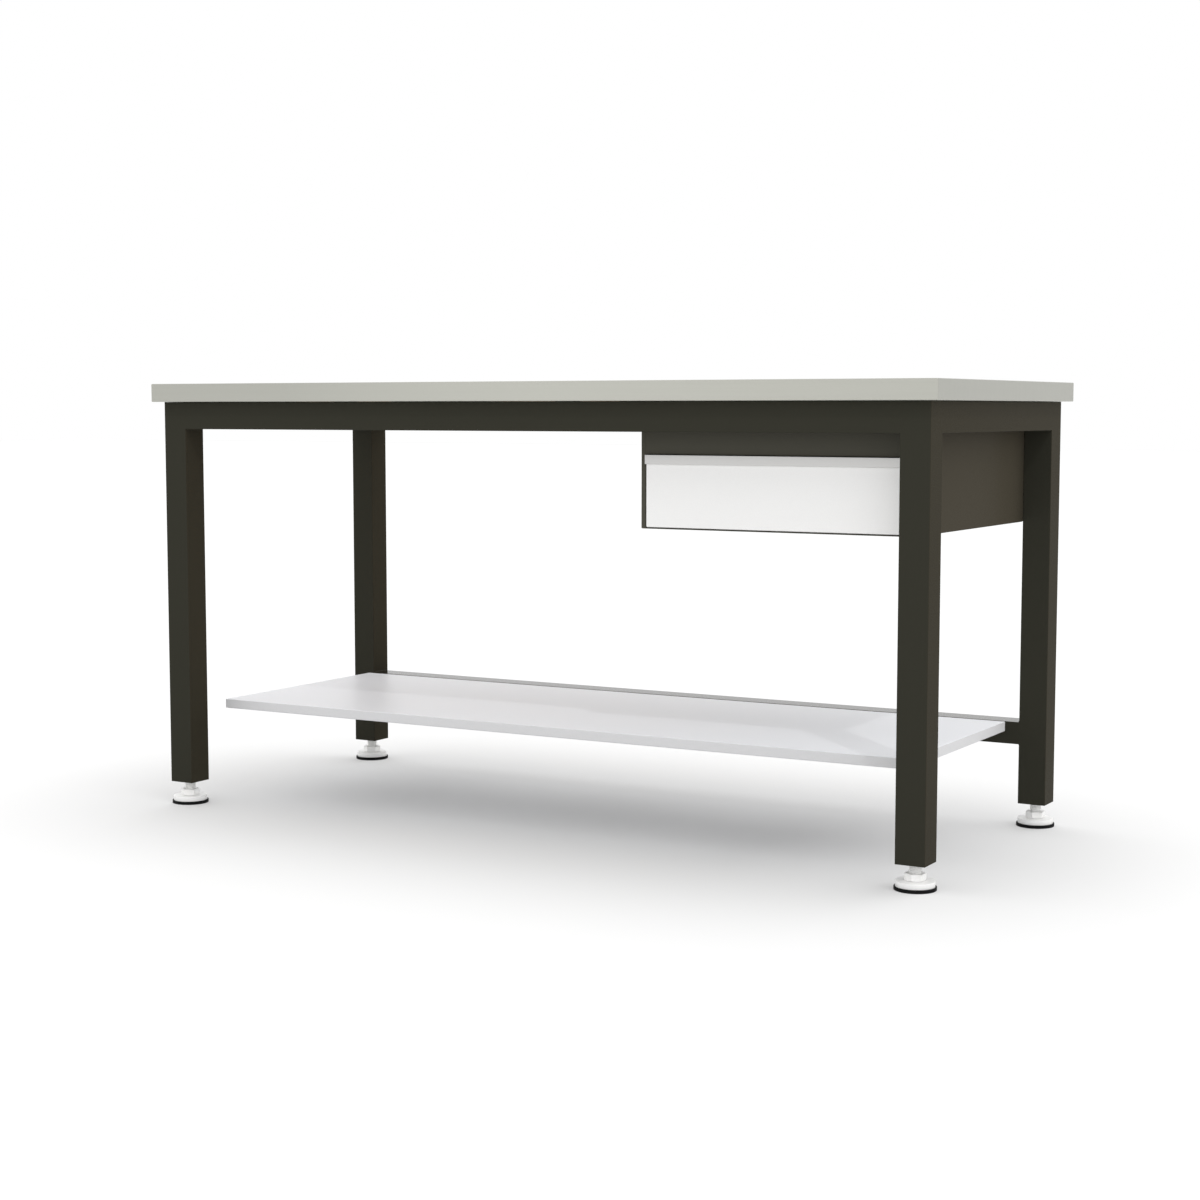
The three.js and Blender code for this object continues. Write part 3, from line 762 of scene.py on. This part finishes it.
# Channel: a web with two legs, its outline in (away from the web, along the web). The outside is a line
# round two bends, and the inside is the same line moved in by the sheet.
def channelLoop(deep, tall, sheet, fold, steps=5):
    half, inner, tip = tall / 2, fold - sheet, 0.25 * mm
    outer = arc((fold, fold - half), (fold, fold), turn * 3 / 4, turn / 2, steps)
    inside = arc((fold, fold - half), (inner, inner), turn / 2, turn * 3 / 4, steps)
    flip = (1, -1)
    lowTip = np.array([(deep, sheet - half - tip), (deep, tip - half), (deep - tip, -half)])
    low, high = [lowTip, outer], [outer[::-1] * flip, lowTip[::-1] * flip]
    return np.concatenate([*low, *high, inside[::-1] * flip, inside])


def channelPart(node, facing, sheet, fold, flipped=False):
    centre, (deep, tall, length) = nodeFrame(node, facing)
    outline = channelLoop(deep, tall, sheet, fold) - (deep / 2, 0)
    if flipped:
        outline = outline * (-1, 1)
    return moved(run(outline, length), centre, facing)


# Drawer housing: a U of sheet whose front edge folds inwards along the sides and the sill. A ring is
# the U's outline moved in across and up by the path's insets, at the path's distance from the front.
housing = {
    "sheet": 1.2 * mm,
    "corner": 2.2 * mm,
    "frontFold": 1.6 * mm,
    "sideReturn": 10 * mm,
    "sill": 2.0 * mm,
    "support": 0.4 * mm,  # the flats keep their shading this close to a fold
    "steps": 6,
}


def troughLoop(width, height, radius, across, up, steps):
    least, support = 0.2 * mm, housing["support"]
    radiusX, radiusZ = max(radius - across, least), max(radius - up, least)
    edge = width / 2 - across
    x, z = edge - radiusX, up + radiusZ
    left = arc((-x, z), (radiusX, radiusZ), turn / 2, turn * 3 / 4, steps)
    flats = [(-x + support, up), (x - support, up)]
    leftEdge = [(-edge, height), (-edge, z + support)]
    rightEdge = [(edge, z + support), (edge, height)]
    return np.concatenate([leftEdge, left, flats, left[::-1] * (-1, 1), rightEdge])


def makeHousing(values=housing):
    low, high = boxOf("housing_wrapper")
    width, depth, height = high - low
    sheet, fold, sill, wide = (values[key] for key in ("sheet", "frontFold", "sill", "sideReturn"))
    bend = arc((fold, fold), (fold, fold), turn / 2, turn * 3 / 4, values["steps"])
    path = [(0, 0, depth), (0, 0, fold + values["support"])]
    path += [(inset, inset, along) for inset, along in bend]
    path += [(wide, sill, 0), (wide, sill, sheet), (sheet, sheet, sheet), (sheet, sheet, depth)]
    rings = []
    for across, up, along in path:
        loop = troughLoop(width, height, values["corner"], across, up, values["steps"])
        rings.append(np.column_stack([loop[:, 0], np.full(len(loop), along), loop[:, 1]]))
    part = gridMesh(np.array(rings), wrapRows=True, wrapColumns=False)
    offset = [(low[0] + high[0]) / 2, low[1], low[2]]
    addPiece("housing_wrapper_sheet", moved(part, offset), "frame", "housing_paint", "housing_wrapper")
    fascia = channelPart("housing_fascia", "+x", sheet, values["corner"])
    addPiece("housing_fascia_sheet", fascia, "frame", "housing_paint", "housing_fascia")


makeHousing()
# each member with its body and the side of the bench where it isn't mirrored
slideParts = (("outer", "frame", "left"), ("inner", "drawer", "right"), ("spacer", "frame", "right"))
for side in sides:
    for kind, body, unturned in slideParts:
        node = f"slide_{kind}_{side}"
        sizes = channels[kind if kind in channels else "slide"]
        part = channelPart(node, "alongY", *sizes, side != unturned)
        addPiece(f"slide_{kind}_channel_{side}", part, body, "zinc", node)
print("housing and slides made")


# Middle member of a slide: its channel, four rows of balls and the strip that keeps each row apart.
balls = {
    "radius": 1.65 * mm,
    "outerRow": 19.25 * mm,  # up from the member's middle
    "innerRow": 15.45 * mm,
    "channelHeight": 36 * mm,
    "endGap": 60 * mm,
    "pitch": 9.5 * mm,
    "stripWidth": 4.2 * mm,
    "stripThickness": 0.7 * mm,
    "pole": 0.12,  # radians from each pole to its flat cap
    "rings": 6,
    "steps": 8,
}


# A ball is rings of radius times (sine of the angle from its pole), at radius times its cosine.
def ballGrid(values=balls):
    radius, pole = values["radius"], values["pole"]
    fromPole = np.linspace(pole, turn / 2 - pole, values["rings"])[:, None]
    around = np.linspace(0, turn, values["steps"], endpoint=False)
    return roundGrid(radius * np.sin(fromPole), around, radius * np.cos(fromPole))


def makeMiddle(side, values=balls):
    node = "slide_middle_" + side
    low, high = boxOf(node)
    centre, deep = (low + high) / 2, high[0] - low[0]
    outline = channelLoop(deep, values["channelHeight"], *channels["slide"]) - (deep / 2, 0)
    if side == "right":
        outline = outline * (-1, 1)
    parts = [moved(run(outline, high[1] - low[1]), centre, "alongY")]
    start, stop = low[1] + values["endGap"], high[1] - values["endGap"]
    ball = gridMesh(ballGrid())
    strip = roundedLoop(values["stripWidth"], values["stripThickness"], 0.2 * mm, 2, 0.1 * mm)
    for row in (values["outerRow"], values["innerRow"], -values["innerRow"], -values["outerRow"]):
        place = centre + (0, 0, row)
        parts.append(moved(run(strip, stop - start), place, "alongY"))
        for y in np.arange(start + values["pitch"] / 2, stop, values["pitch"]):
            parts.append((ball[0] + (place[0], y, place[2]), ball[1]))
    addPiece("slide_middle_member_" + side, together(parts), "slide_members", "zinc", node)


for side in sides:
    makeMiddle(side)
print("ball rows made")


# Screw heads: a turned dome whose radius is kept outside a six-sided socket in its middle.
screws = {
    "steps": 24,
    "domeRings": 5,
    "crown": 0.35,  # radius of the dome's flat middle, as a share of the head's
    "socket": 0.3,  # from the socket's middle to its flats, likewise
    "socketFloor": 0.35,  # its floor's height, as a share of the head's
}


# The cosine of the angle from the middle of a hexagon's nearest side.
def hexagonCosine(angle):
    return np.cos((angle + turn / 12) % (turn / 6) - turn / 12)


# The dome falls to its rim by the power 0.6 of the cosine of the angle up from the rim.
def headPart(radius, height, values=screws):
    angle = np.linspace(0, turn, values["steps"], endpoint=False)
    fromRim = np.linspace(0, turn / 4, values["domeRings"])
    dome = radius * (values["crown"] + (1 - values["crown"]) * np.cos(fromRim) ** 0.6)
    reach = np.concatenate([dome, [0, 0]])[:, None]
    rise = height * np.concatenate([np.sin(fromRim), [1, values["socketFloor"]]])[:, None]
    socket = values["socket"] * radius / hexagonCosine(angle)
    return gridMesh(roundGrid(np.maximum(reach, socket), angle, rise))


# Heads are (place, facing, radius, height).
def makeScrews(name, body, heads):
    parts = [moved(headPart(radius, height), place, facing) for place, facing, radius, height in heads]
    addPiece(name, together(parts), body, "zinc", None, "screw")


# Radius and height of the heads, and their places. Under the top and the shelf they sit on the lower
# face of a sheet this thick, this far aside of its middle: at a distance from a tab's outer end, at
# shares of a hanger's length, and at the bench's own y on an arm. On a slide y counts from its front
# end. Behind the front they are at shares of the drawer box's width and height.
fixings = {
    "top_tab": {"head": (6 * mm, 3.2 * mm), "edge": 16.5 * mm, "aside": 0, "sheet": 3 * mm},
    "housing_hanger": {
        "head": (5 * mm, 2.6 * mm), "shares": (0.1, 0.5, 0.9), "aside": 1 * mm, "sheet": 2 * mm
    },
    "shelf_arm": {
        "head": (5 * mm, 2.6 * mm), "y": (-150 * mm, 60 * mm, 250 * mm), "aside": 0, "sheet": 3 * mm
    },
    "slide": {"head": (4 * mm, 1.1 * mm), "y": (37 * mm, 165 * mm, 293 * mm, 440 * mm)},
    "front": {"head": (4.5 * mm, 2.4 * mm), "across": (0.12, 0.5, 0.88), "up": (0.25, 0.75)},
}


# Heads that look down, under the worktop and the shelf.
def makeTopScrews(values=fixings):
    heads = []
    for node in nodes:
        kind = next((kind for kind in values if node.startswith(kind)), None)
        if kind not in ("top_tab", "housing_hanger", "shelf_arm"):
            continue
        low, high = boxOf(node)
        fixing = values[kind]
        if kind == "top_tab":
            places = [low[1] + fixing["edge"] if low[1] < 0 else high[1] - fixing["edge"]]
        elif kind == "housing_hanger":
            places = [low[1] + share * (high[1] - low[1]) for share in fixing["shares"]]
        else:
            places = fixing["y"]
        x, z = (low[0] + high[0]) / 2 + fixing["aside"], high[2] - fixing["sheet"]
        heads += [((x, y, z), "-z", *fixing["head"]) for y in places]
    makeScrews("top_fixing_screws", "frame", heads)


def makeDrawerScrews(values=fixings):
    sheet, slide, front = channels["slide"][0], values["slide"], values["front"]
    heads, frontHeads = {"outer": [], "inner": []}, []
    z = boxOf("slide_outer_left")[:, 2].mean()
    for side in sides:
        for kind, webSide in (("outer", "left"), ("inner", "right")):
            box = boxOf(f"slide_{kind}_{side}")
            x, facing = (box[0][0] + sheet, "+x") if side == webSide else (box[1][0] - sheet, "-x")
            heads[kind] += [((x, box[0][1] + y, z), facing, *slide["head"]) for y in slide["y"]]
    low, high = boxOf("drawer_box")
    for x in front["across"]:
        for z in front["up"]:
            place = low + (high - low) * (x, 0, z) + (0, pans["drawerBox"][0], 0)
            frontHeads.append((place, "+y", *front["head"]))
    makeScrews("slide_case_screws", "frame", heads["outer"])
    makeScrews("drawer_screws", "drawer", heads["inner"] + frontHeads)


makeTopScrews()
makeDrawerScrews()
print("screws made")


# Angle: two legs from one corner, the first backwards along x and the second up, rounded at the fold.
def angleLoop(leg, sheet, fold):
    inner = fold - sheet
    return np.concatenate([
        [(-leg, sheet), (-leg, 0)],
        arc((-fold, fold), (fold, fold), turn * 3 / 4, turn, 6),
        [(0, leg), (-sheet, leg)],
        arc((-fold, fold), (inner, inner), turn, turn * 3 / 4, 6),
    ])


# finish, sheet thickness and outside radius of the fold
hungAngles = {"top_tab": ("frame_paint", 3 * mm, 4.2 * mm), "housing_hanger": ("zinc", 2 * mm, 3.2 * mm)}


# One leg lies flat under the top and points inwards, the other hangs down its rail or wall.
def makeHungAngle(node):
    low, high = boxOf(node)
    isTab = node.startswith("top_tab")
    slot, sheet, fold = hungAngles["top_tab" if isTab else "housing_hanger"]
    across = 1 if isTab else 0
    inwards = 1 if "front" in node or "left" in node else -1
    size, offset = high - low, (low + high) / 2
    offset[across] = low[across] if inwards > 0 else high[across]
    offset[2] = high[2]
    outline = angleLoop(size[across], sheet, fold) * (-inwards, -1)
    part = moved(run(outline, size[1 - across]), offset, "+x" if isTab else "alongY")
    addPiece(node + "_angle", part, "frame", slot, node)


arm = {"sheet": 3 * mm, "fold": 4.2 * mm, "tip": 10 * mm, "plateShort": 0.5 * mm, "plateCorner": 0.3 * mm}


# Arm: a trough with its open side down. Its outline is a channel's, whose depth grows evenly from the tip
# to the root, and a plate closes the tip.
def makeArm(node, values=arm):
    low, high = boxOf(node)
    sheet, tip, width, x = values["sheet"], values["tip"], high[0] - low[0], (low[0] + high[0]) / 2
    rings = []
    for y, deep in ((low[1], tip), (high[1], high[2] - low[2])):
        loop = channelLoop(deep, width, sheet, values["fold"])
        rings.append(np.column_stack([x + loop[:, 1], np.full(len(loop), y), high[2] - loop[:, 0]]))
    tall = tip - sheet - values["plateShort"]
    plate = run(roundedLoop(width - 2 * sheet, tall, values["plateCorner"], 2, 0.1 * mm), sheet)
    plate = moved(plate, (x, low[1] + sheet / 2, high[2] - sheet - tall / 2), "alongY")
    addPiece(node + "_trough", together([gridMesh(np.array(rings)), plate]), "frame", "frame_paint", node)


for node in nodes:
    if node.startswith(("top_tab", "housing_hanger")):
        makeHungAngle(node)
    elif node.startswith("shelf_arm"):
        makeArm(node)
    elif node.startswith("shelf_stiffener"):
        stiffener = channelPart(node, "+y", *channels["stiffener"], True)
        addPiece(node + "_channel", stiffener, "frame", "shelf_paint", node)
print("tabs, hangers, arms and stiffeners made")


# Angle behind the housing that ties its back to the right rear leg.
tieAngle = {
    "leg": 25 * mm,
    "sheet": 1.5 * mm,
    "fold": 2.3 * mm,
    "head": (4 * mm, 2.2 * mm),
    "screwInset": 30 * mm,
}


def makeTieAngle(values=tieAngle):
    low, high = boxOf("housing_back")
    leg, sheet = values["leg"], values["sheet"]
    bottom, top = low[2], railBottom
    offset = (legInside, high[1], (bottom + top) / 2)
    angle = moved(run(angleLoop(leg, sheet, values["fold"]), top - bottom), offset)
    addPiece("housing_tie_angle", angle, "frame", "housing_paint")
    heads = []
    for z in (bottom + values["screwInset"], top - values["screwInset"]):
        heads.append(((legInside - leg / 2, high[1] + sheet, z), "+y", *values["head"]))
        heads.append(((legInside - sheet, high[1] + leg / 2, z), "-x", *values["head"]))
    makeScrews("housing_tie_screws", "frame", heads)


makeTieAngle()


# Grip: a drawn strip. Its outline in (back, up) has a bar, a leg that laps over the front and a groove.
grip = {
    "proud": 5.5 * mm,
    "gap": 0.3 * mm,
    "corner": 1.2 * mm,
    "cap": 1.5 * mm,
    "groove": 2.2 * mm,
    "steps": 5,
}


def makeGrip(values=grip):
    low, high = boxOf("drawer_grip")
    width, deep, tall = high - low
    radius, steps, cap, groove = (values[key] for key in ("corner", "steps", "cap", "groove"))
    thick = values["proud"] - values["gap"]
    start, fine = (thick - groove) / 2, radius / 3
    well = (start + groove / 2, tall - groove / 2)
    outline = np.concatenate([
        arc((radius, radius), (radius, radius), turn / 2, turn * 3 / 4, steps),
        arc((thick - radius, radius), (radius, radius), turn * 3 / 4, turn, steps),
        [(thick, tall - cap), (deep - fine, tall - cap), (deep, tall - cap + fine)],
        [(deep, tall - fine), (deep - fine, tall)],
        arc((start + groove + fine, tall - fine), (fine, fine), turn / 4, turn / 2, 3),
        arc(well, (groove / 2, groove / 2), 0, -turn / 2, steps + 3),
        arc((start - fine, tall - fine), (fine, fine), 0, turn / 4, 3),
        arc((fine, tall - fine), (fine, fine), turn / 4, turn / 2, 3),
    ])
    part = moved(run(outline, width), [(low[0] + high[0]) / 2, low[1], low[2]], "+x")
    addPiece("drawer_grip_strip", part, "drawer", "aluminium", "drawer_grip")


makeGrip()
print("grip made")


# Levelling feet. A turned shape is its profile of (radius, height) at evenly spaced angles.
feet = {
    "stem": 24 * mm,  # the thread's outer diameter
    "pitch": 3 * mm,
    "threadDepth": 1.5 * mm,
    "flank": (1.5, 0.3),  # slope of the thread's flanks and flat of its crest
    "runOut": 1.2,  # how deep its end tapers, as a share of its depth
    "threadSteps": 36,
    "neckSteps": 48,
    "hexagonSteps": 120,
    "ringsPerPitch": 8,
    "neck": 16 * mm,
    "neckEdge": 1 * mm,
    "hexagon": 36 * mm,  # across flats
    "hexagonHeight": 14 * mm,
    "hexagonBottom": 18 * mm,
    "hexagonChamfer": 1.6 * mm,  # along the axis
    "hexagonFace": 0.3 * mm,  # how far the end face's circle stays inside the flats
    "hexagonSlope": 2.2,  # radius that the chamfer gains for its height
    "overlap": 0.5 * mm,  # how deep the neck and the thread reach into the hexagon
    "pad": 75 * mm,
    "padBottom": 5.3 * mm,
    "padEdge": 1.2 * mm,
    "padCrown": 0.4 * mm,  # how far the disc's top falls to its edge
    "rubber": 81 * mm,
    "rubberHeight": 7 * mm,
    "rubberEdge": 1 * mm,
    "rubberRim": 2 * mm,  # how deep the pad sits in the rubber
    "small": 0.5 * mm,  # fine edges and the groove round the rubber
    "fit": 0.3 * mm,  # clearance between the pieces
    "padBore": 9 * mm,  # height of the bore's floor
    "steps": 72,
}


def turned(profile, steps):
    radius, height = np.array(profile).T[:, :, None]
    return gridMesh(roundGrid(radius, np.linspace(0, turn, steps, endpoint=False), height))


# Thread: the depth is a clipped triangle wave of height over pitch less the angle's share of a turn,
# and it runs out to the root at the top.
def threadPart(bottom, top, values):
    pitch, deep, (slope, crest) = values["pitch"], values["threadDepth"], values["flank"]
    angle = np.linspace(0, turn, values["threadSteps"], endpoint=False)
    height = np.linspace(bottom, top, int((top - bottom) / pitch * values["ringsPerPitch"]))[:, None]
    wave = np.abs(((height / pitch - angle / turn) % 1) * 2 - 1)
    depth = np.clip(wave * slope - crest, 0, 1)
    runOut = np.clip((height - top) / deep + 1, 0, 1) * values["runOut"]
    return gridMesh(roundGrid(values["stem"] / 2 - deep * np.maximum(depth, runOut), angle, height))


# Hexagon: at each angle and height the radius is the lesser of the flat side and the chamfer's cone.
def hexagonPart(values):
    tall, chamfer, apothem = values["hexagonHeight"], values["hexagonChamfer"], values["hexagon"] / 2
    angle = np.linspace(0, turn, values["hexagonSteps"], endpoint=False)
    ramp = np.linspace(0, chamfer, 7)
    rise = np.concatenate([ramp, [tall / 2], tall - ramp[::-1]])[:, None]
    cone = apothem - values["hexagonFace"] + np.minimum(rise, tall - rise) * values["hexagonSlope"]
    radius = np.minimum(apothem / hexagonCosine(angle), cone)
    return gridMesh(roundGrid(radius, angle, values["hexagonBottom"] + rise))


# The top falls from the hexagon's edge to the rim by the square of the share of the way.
def padProfile(values):
    bottom, top, small = values["padBottom"], values["hexagonBottom"] - values["fit"], values["small"]
    radius, edge, crown = values["pad"] / 2, values["padEdge"], values["padCrown"]
    bore = values["neck"] / 2 + values["fit"]
    share = np.linspace(1, 0, 12)
    flatEnd, start = radius - edge, values["hexagon"] / 2
    crowned = np.column_stack([start + (flatEnd - start) * share, top - crown * share**2])
    return np.concatenate([
        arc((radius - small, bottom + small), (small, small), -turn / 4, 0, 3),
        arc((flatEnd, top - crown - edge), (edge, edge), 0, turn / 4, 5),
        crowned[1:],
        [(bore + small, top), (bore, top - small), (bore, values["padBore"])],
    ])


def rubberProfile(values):
    radius, tall, soft = values["rubber"] / 2, values["rubberHeight"], values["rubberEdge"]
    fit, notch = values["fit"], values["small"]
    recess = values["pad"] / 2 + fit
    return np.concatenate([
        arc((radius - soft, soft), (soft, soft), -turn / 4, 0, 5),
        [(radius, tall / 2 - notch), (radius - notch, tall / 2), (radius, tall / 2 + notch)],
        arc((radius - soft, tall - soft), (soft, soft), 0, turn / 4, 5),
        [(recess + fit, tall), (recess, tall - fit), (recess, tall - values["rubberRim"])],
    ])


def makeFoot(corner, values=feet):
    low, high = boxOf("foot_stem_" + corner)
    neck, edge, overlap, bottom = (values[key] for key in ("neck", "neckEdge", "overlap", "hexagonBottom"))
    profile = [(neck / 2 - edge, low[2]), (neck / 2, low[2] + edge), (neck / 2, bottom + overlap)]
    head = together([hexagonPart(values), turned(profile, values["neckSteps"])])
    thread = threadPart(bottom + values["hexagonHeight"] - overlap, high[2], values)
    disc, sole = (turned(outline(values), values["steps"]) for outline in (padProfile, rubberProfile))
    for name, part, slot, node, crease in (
        ("foot_thread_", thread, "foot_metal", "foot_stem_", "thread"),
        ("foot_hexagon_", head, "foot_metal", "foot_stem_", "hexagon"),
        ("foot_disc_", disc, "foot_metal", "foot_pad_", "disc"),
        ("foot_sole_", sole, "rubber", "foot_rubber_", "disc"),
    ):
        part = moved(part, (low + high) / 2 * (1, 1, 0))
        addPiece(name + corner, part, "foot_" + corner, slot, node + corner, crease)


for corner in corners:
    makeFoot(corner)
print("feet made")


# What keeps its CAD solid takes its slot's finish.
slotOf = {part["node"]: part["material_slot"] for part in frame["record"]["subparts"]}
for name, node in nodes.items():
    node.data.materials.clear()
    node.data.materials.append(looks[slotOf[name]])
print("CAD nodes finished")


# Studio: a pale floor, an even white surround, a weak key light from the front right and a soft light
# overhead that falls on the floor alone.
studio = {
    "worldLight": 1.15,
    "frontDimming": 0.12,  # share of light that the front loses and the back gains
    "floorBounce": 0.41,
    "floorSeen": 0.378,  # the floor's colour as the camera sees it
    "floorGlow": 0.2,  # even light that the camera sees there too
    "key": (0.377, 1.0, (-0.63, 0.61, -1.0)),  # strength, degrees across and direction
    "overhead": (3.61, 60.0, (-0.05, -0.07, -1.0)),
    "floorReach": 40.0,  # from the middle to each edge
    "keyLeavesOut": ("drawer_front", "drawer_grip", "housing_wrapper", "housing_fascia"),
    "overheadPasses": ("shelf_", "lower_rear_rail"),
}


# One where the camera, a reflection or a ray through glass looks, so that all of them see the background.
def seenRays(finish):
    seen = 0.0
    for name in ("Is Camera Ray", "Is Glossy Ray", "Is Transmission Ray"):
        seen = finish.node("LightPath", output=name).math("MAXIMUM", seen)
    return seen


def makeFloor(values=studio):
    finish = Finish("pale_floor")
    bounce = finish.node("BsdfDiffuse", None, {"Color": (values["floorBounce"],) * 3 + (1,)})
    lit = finish.node("BsdfDiffuse", None, {"Color": (values["floorSeen"],) * 3 + (1,)})
    glow = finish.node("Emission", None, {"Strength": values["floorGlow"]})
    seen = finish.node("AddShader", None, [lit, glow])
    mixed = finish.node("MixShader", None, [seenRays(finish), bounce, seen])
    finish.tree.links.new(mixed.socket, finish.output.inputs[0])
    mesh = bpy.data.meshes.new("studio_floor")
    reach = values["floorReach"]
    square = [(-reach, -reach, 0), (reach, -reach, 0), (reach, reach, 0), (-reach, reach, 0)]
    mesh.from_pydata(square, [], [(0, 1, 2, 3)])
    mesh.materials.append(finish.owner)
    floor = bpy.data.objects.new("studio_floor", mesh)
    bpy.context.scene.collection.objects.link(floor)
    floor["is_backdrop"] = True
    return floor


# The light is worldLight times one less the dimming times how far the direction points to the front.
def makeWorld(values=studio):
    finish = Finish("studio_surround", world=True)
    direction = finish.node("TexCoord", output="Generated")
    sockets = [direction, (0, -values["frontDimming"], 0)]
    front = finish.node("VectorMath", {"operation": "DOT_PRODUCT"}, sockets, 1)
    white = (1, 1, 1, 1)
    strength = (1 - front) * values["worldLight"]
    light = finish.node("Background", None, {"Color": white, "Strength": strength})
    seen = finish.node("Background", None, {"Color": white, "Strength": 1.0})
    mixed = finish.node("MixShader", None, [seenRays(finish), light, seen])
    finish.tree.links.new(mixed.socket, finish.output.inputs[0])
    bpy.context.scene.world = finish.owner


def makeSun(name, strength, angle, direction):
    lamp = bpy.data.lights.new(name, "SUN")
    lamp.energy = strength
    lamp.angle = math.radians(angle)
    sun = bpy.data.objects.new(name, lamp)
    sun.rotation_euler = Vector(direction).to_track_quat("-Z", "Y").to_euler()
    bpy.context.scene.collection.objects.link(sun)
    return sun.light_linking


# A light's list: the only things that it knows (INCLUDE), or those that it leaves out (EXCLUDE).
def linked(name, state, things):
    group = bpy.data.collections.new(name)
    for thing in things:
        group.objects.link(thing)
    for entry in group.collection_objects:
        entry.light_linking.link_state = state
    return group


def piecesNamed(starts):
    return [piece for piece in bpy.data.objects if piece.name.startswith(starts)]


# The key light leaves out the floor and the drawer's front and housing, because the photograph shows no
# edge of its shadows there. The overhead light passes the shelf and its rail, so that the worktop alone
# gives the floor's compact shadow.
def makeLights(floor, values=studio):
    key, overhead = (makeSun(name + "_light", *values[name]) for name in ("key", "overhead"))
    unlit, passed = [floor, *piecesNamed(values["keyLeavesOut"])], piecesNamed(values["overheadPasses"])
    key.receiver_collection = linked("not_lit_by_the_key", "EXCLUDE", unlit)
    overhead.receiver_collection = linked("lit_from_overhead", "INCLUDE", [floor])
    overhead.blocker_collection = linked("passed_from_overhead", "EXCLUDE", passed)


makeWorld()
makeLights(makeFloor())
bpy.context.scene.view_settings.view_transform = "Standard"
print("studio made")

sizes = {"cad": [list(point) for point in cadBounds], "shown": [list(point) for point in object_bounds()]}
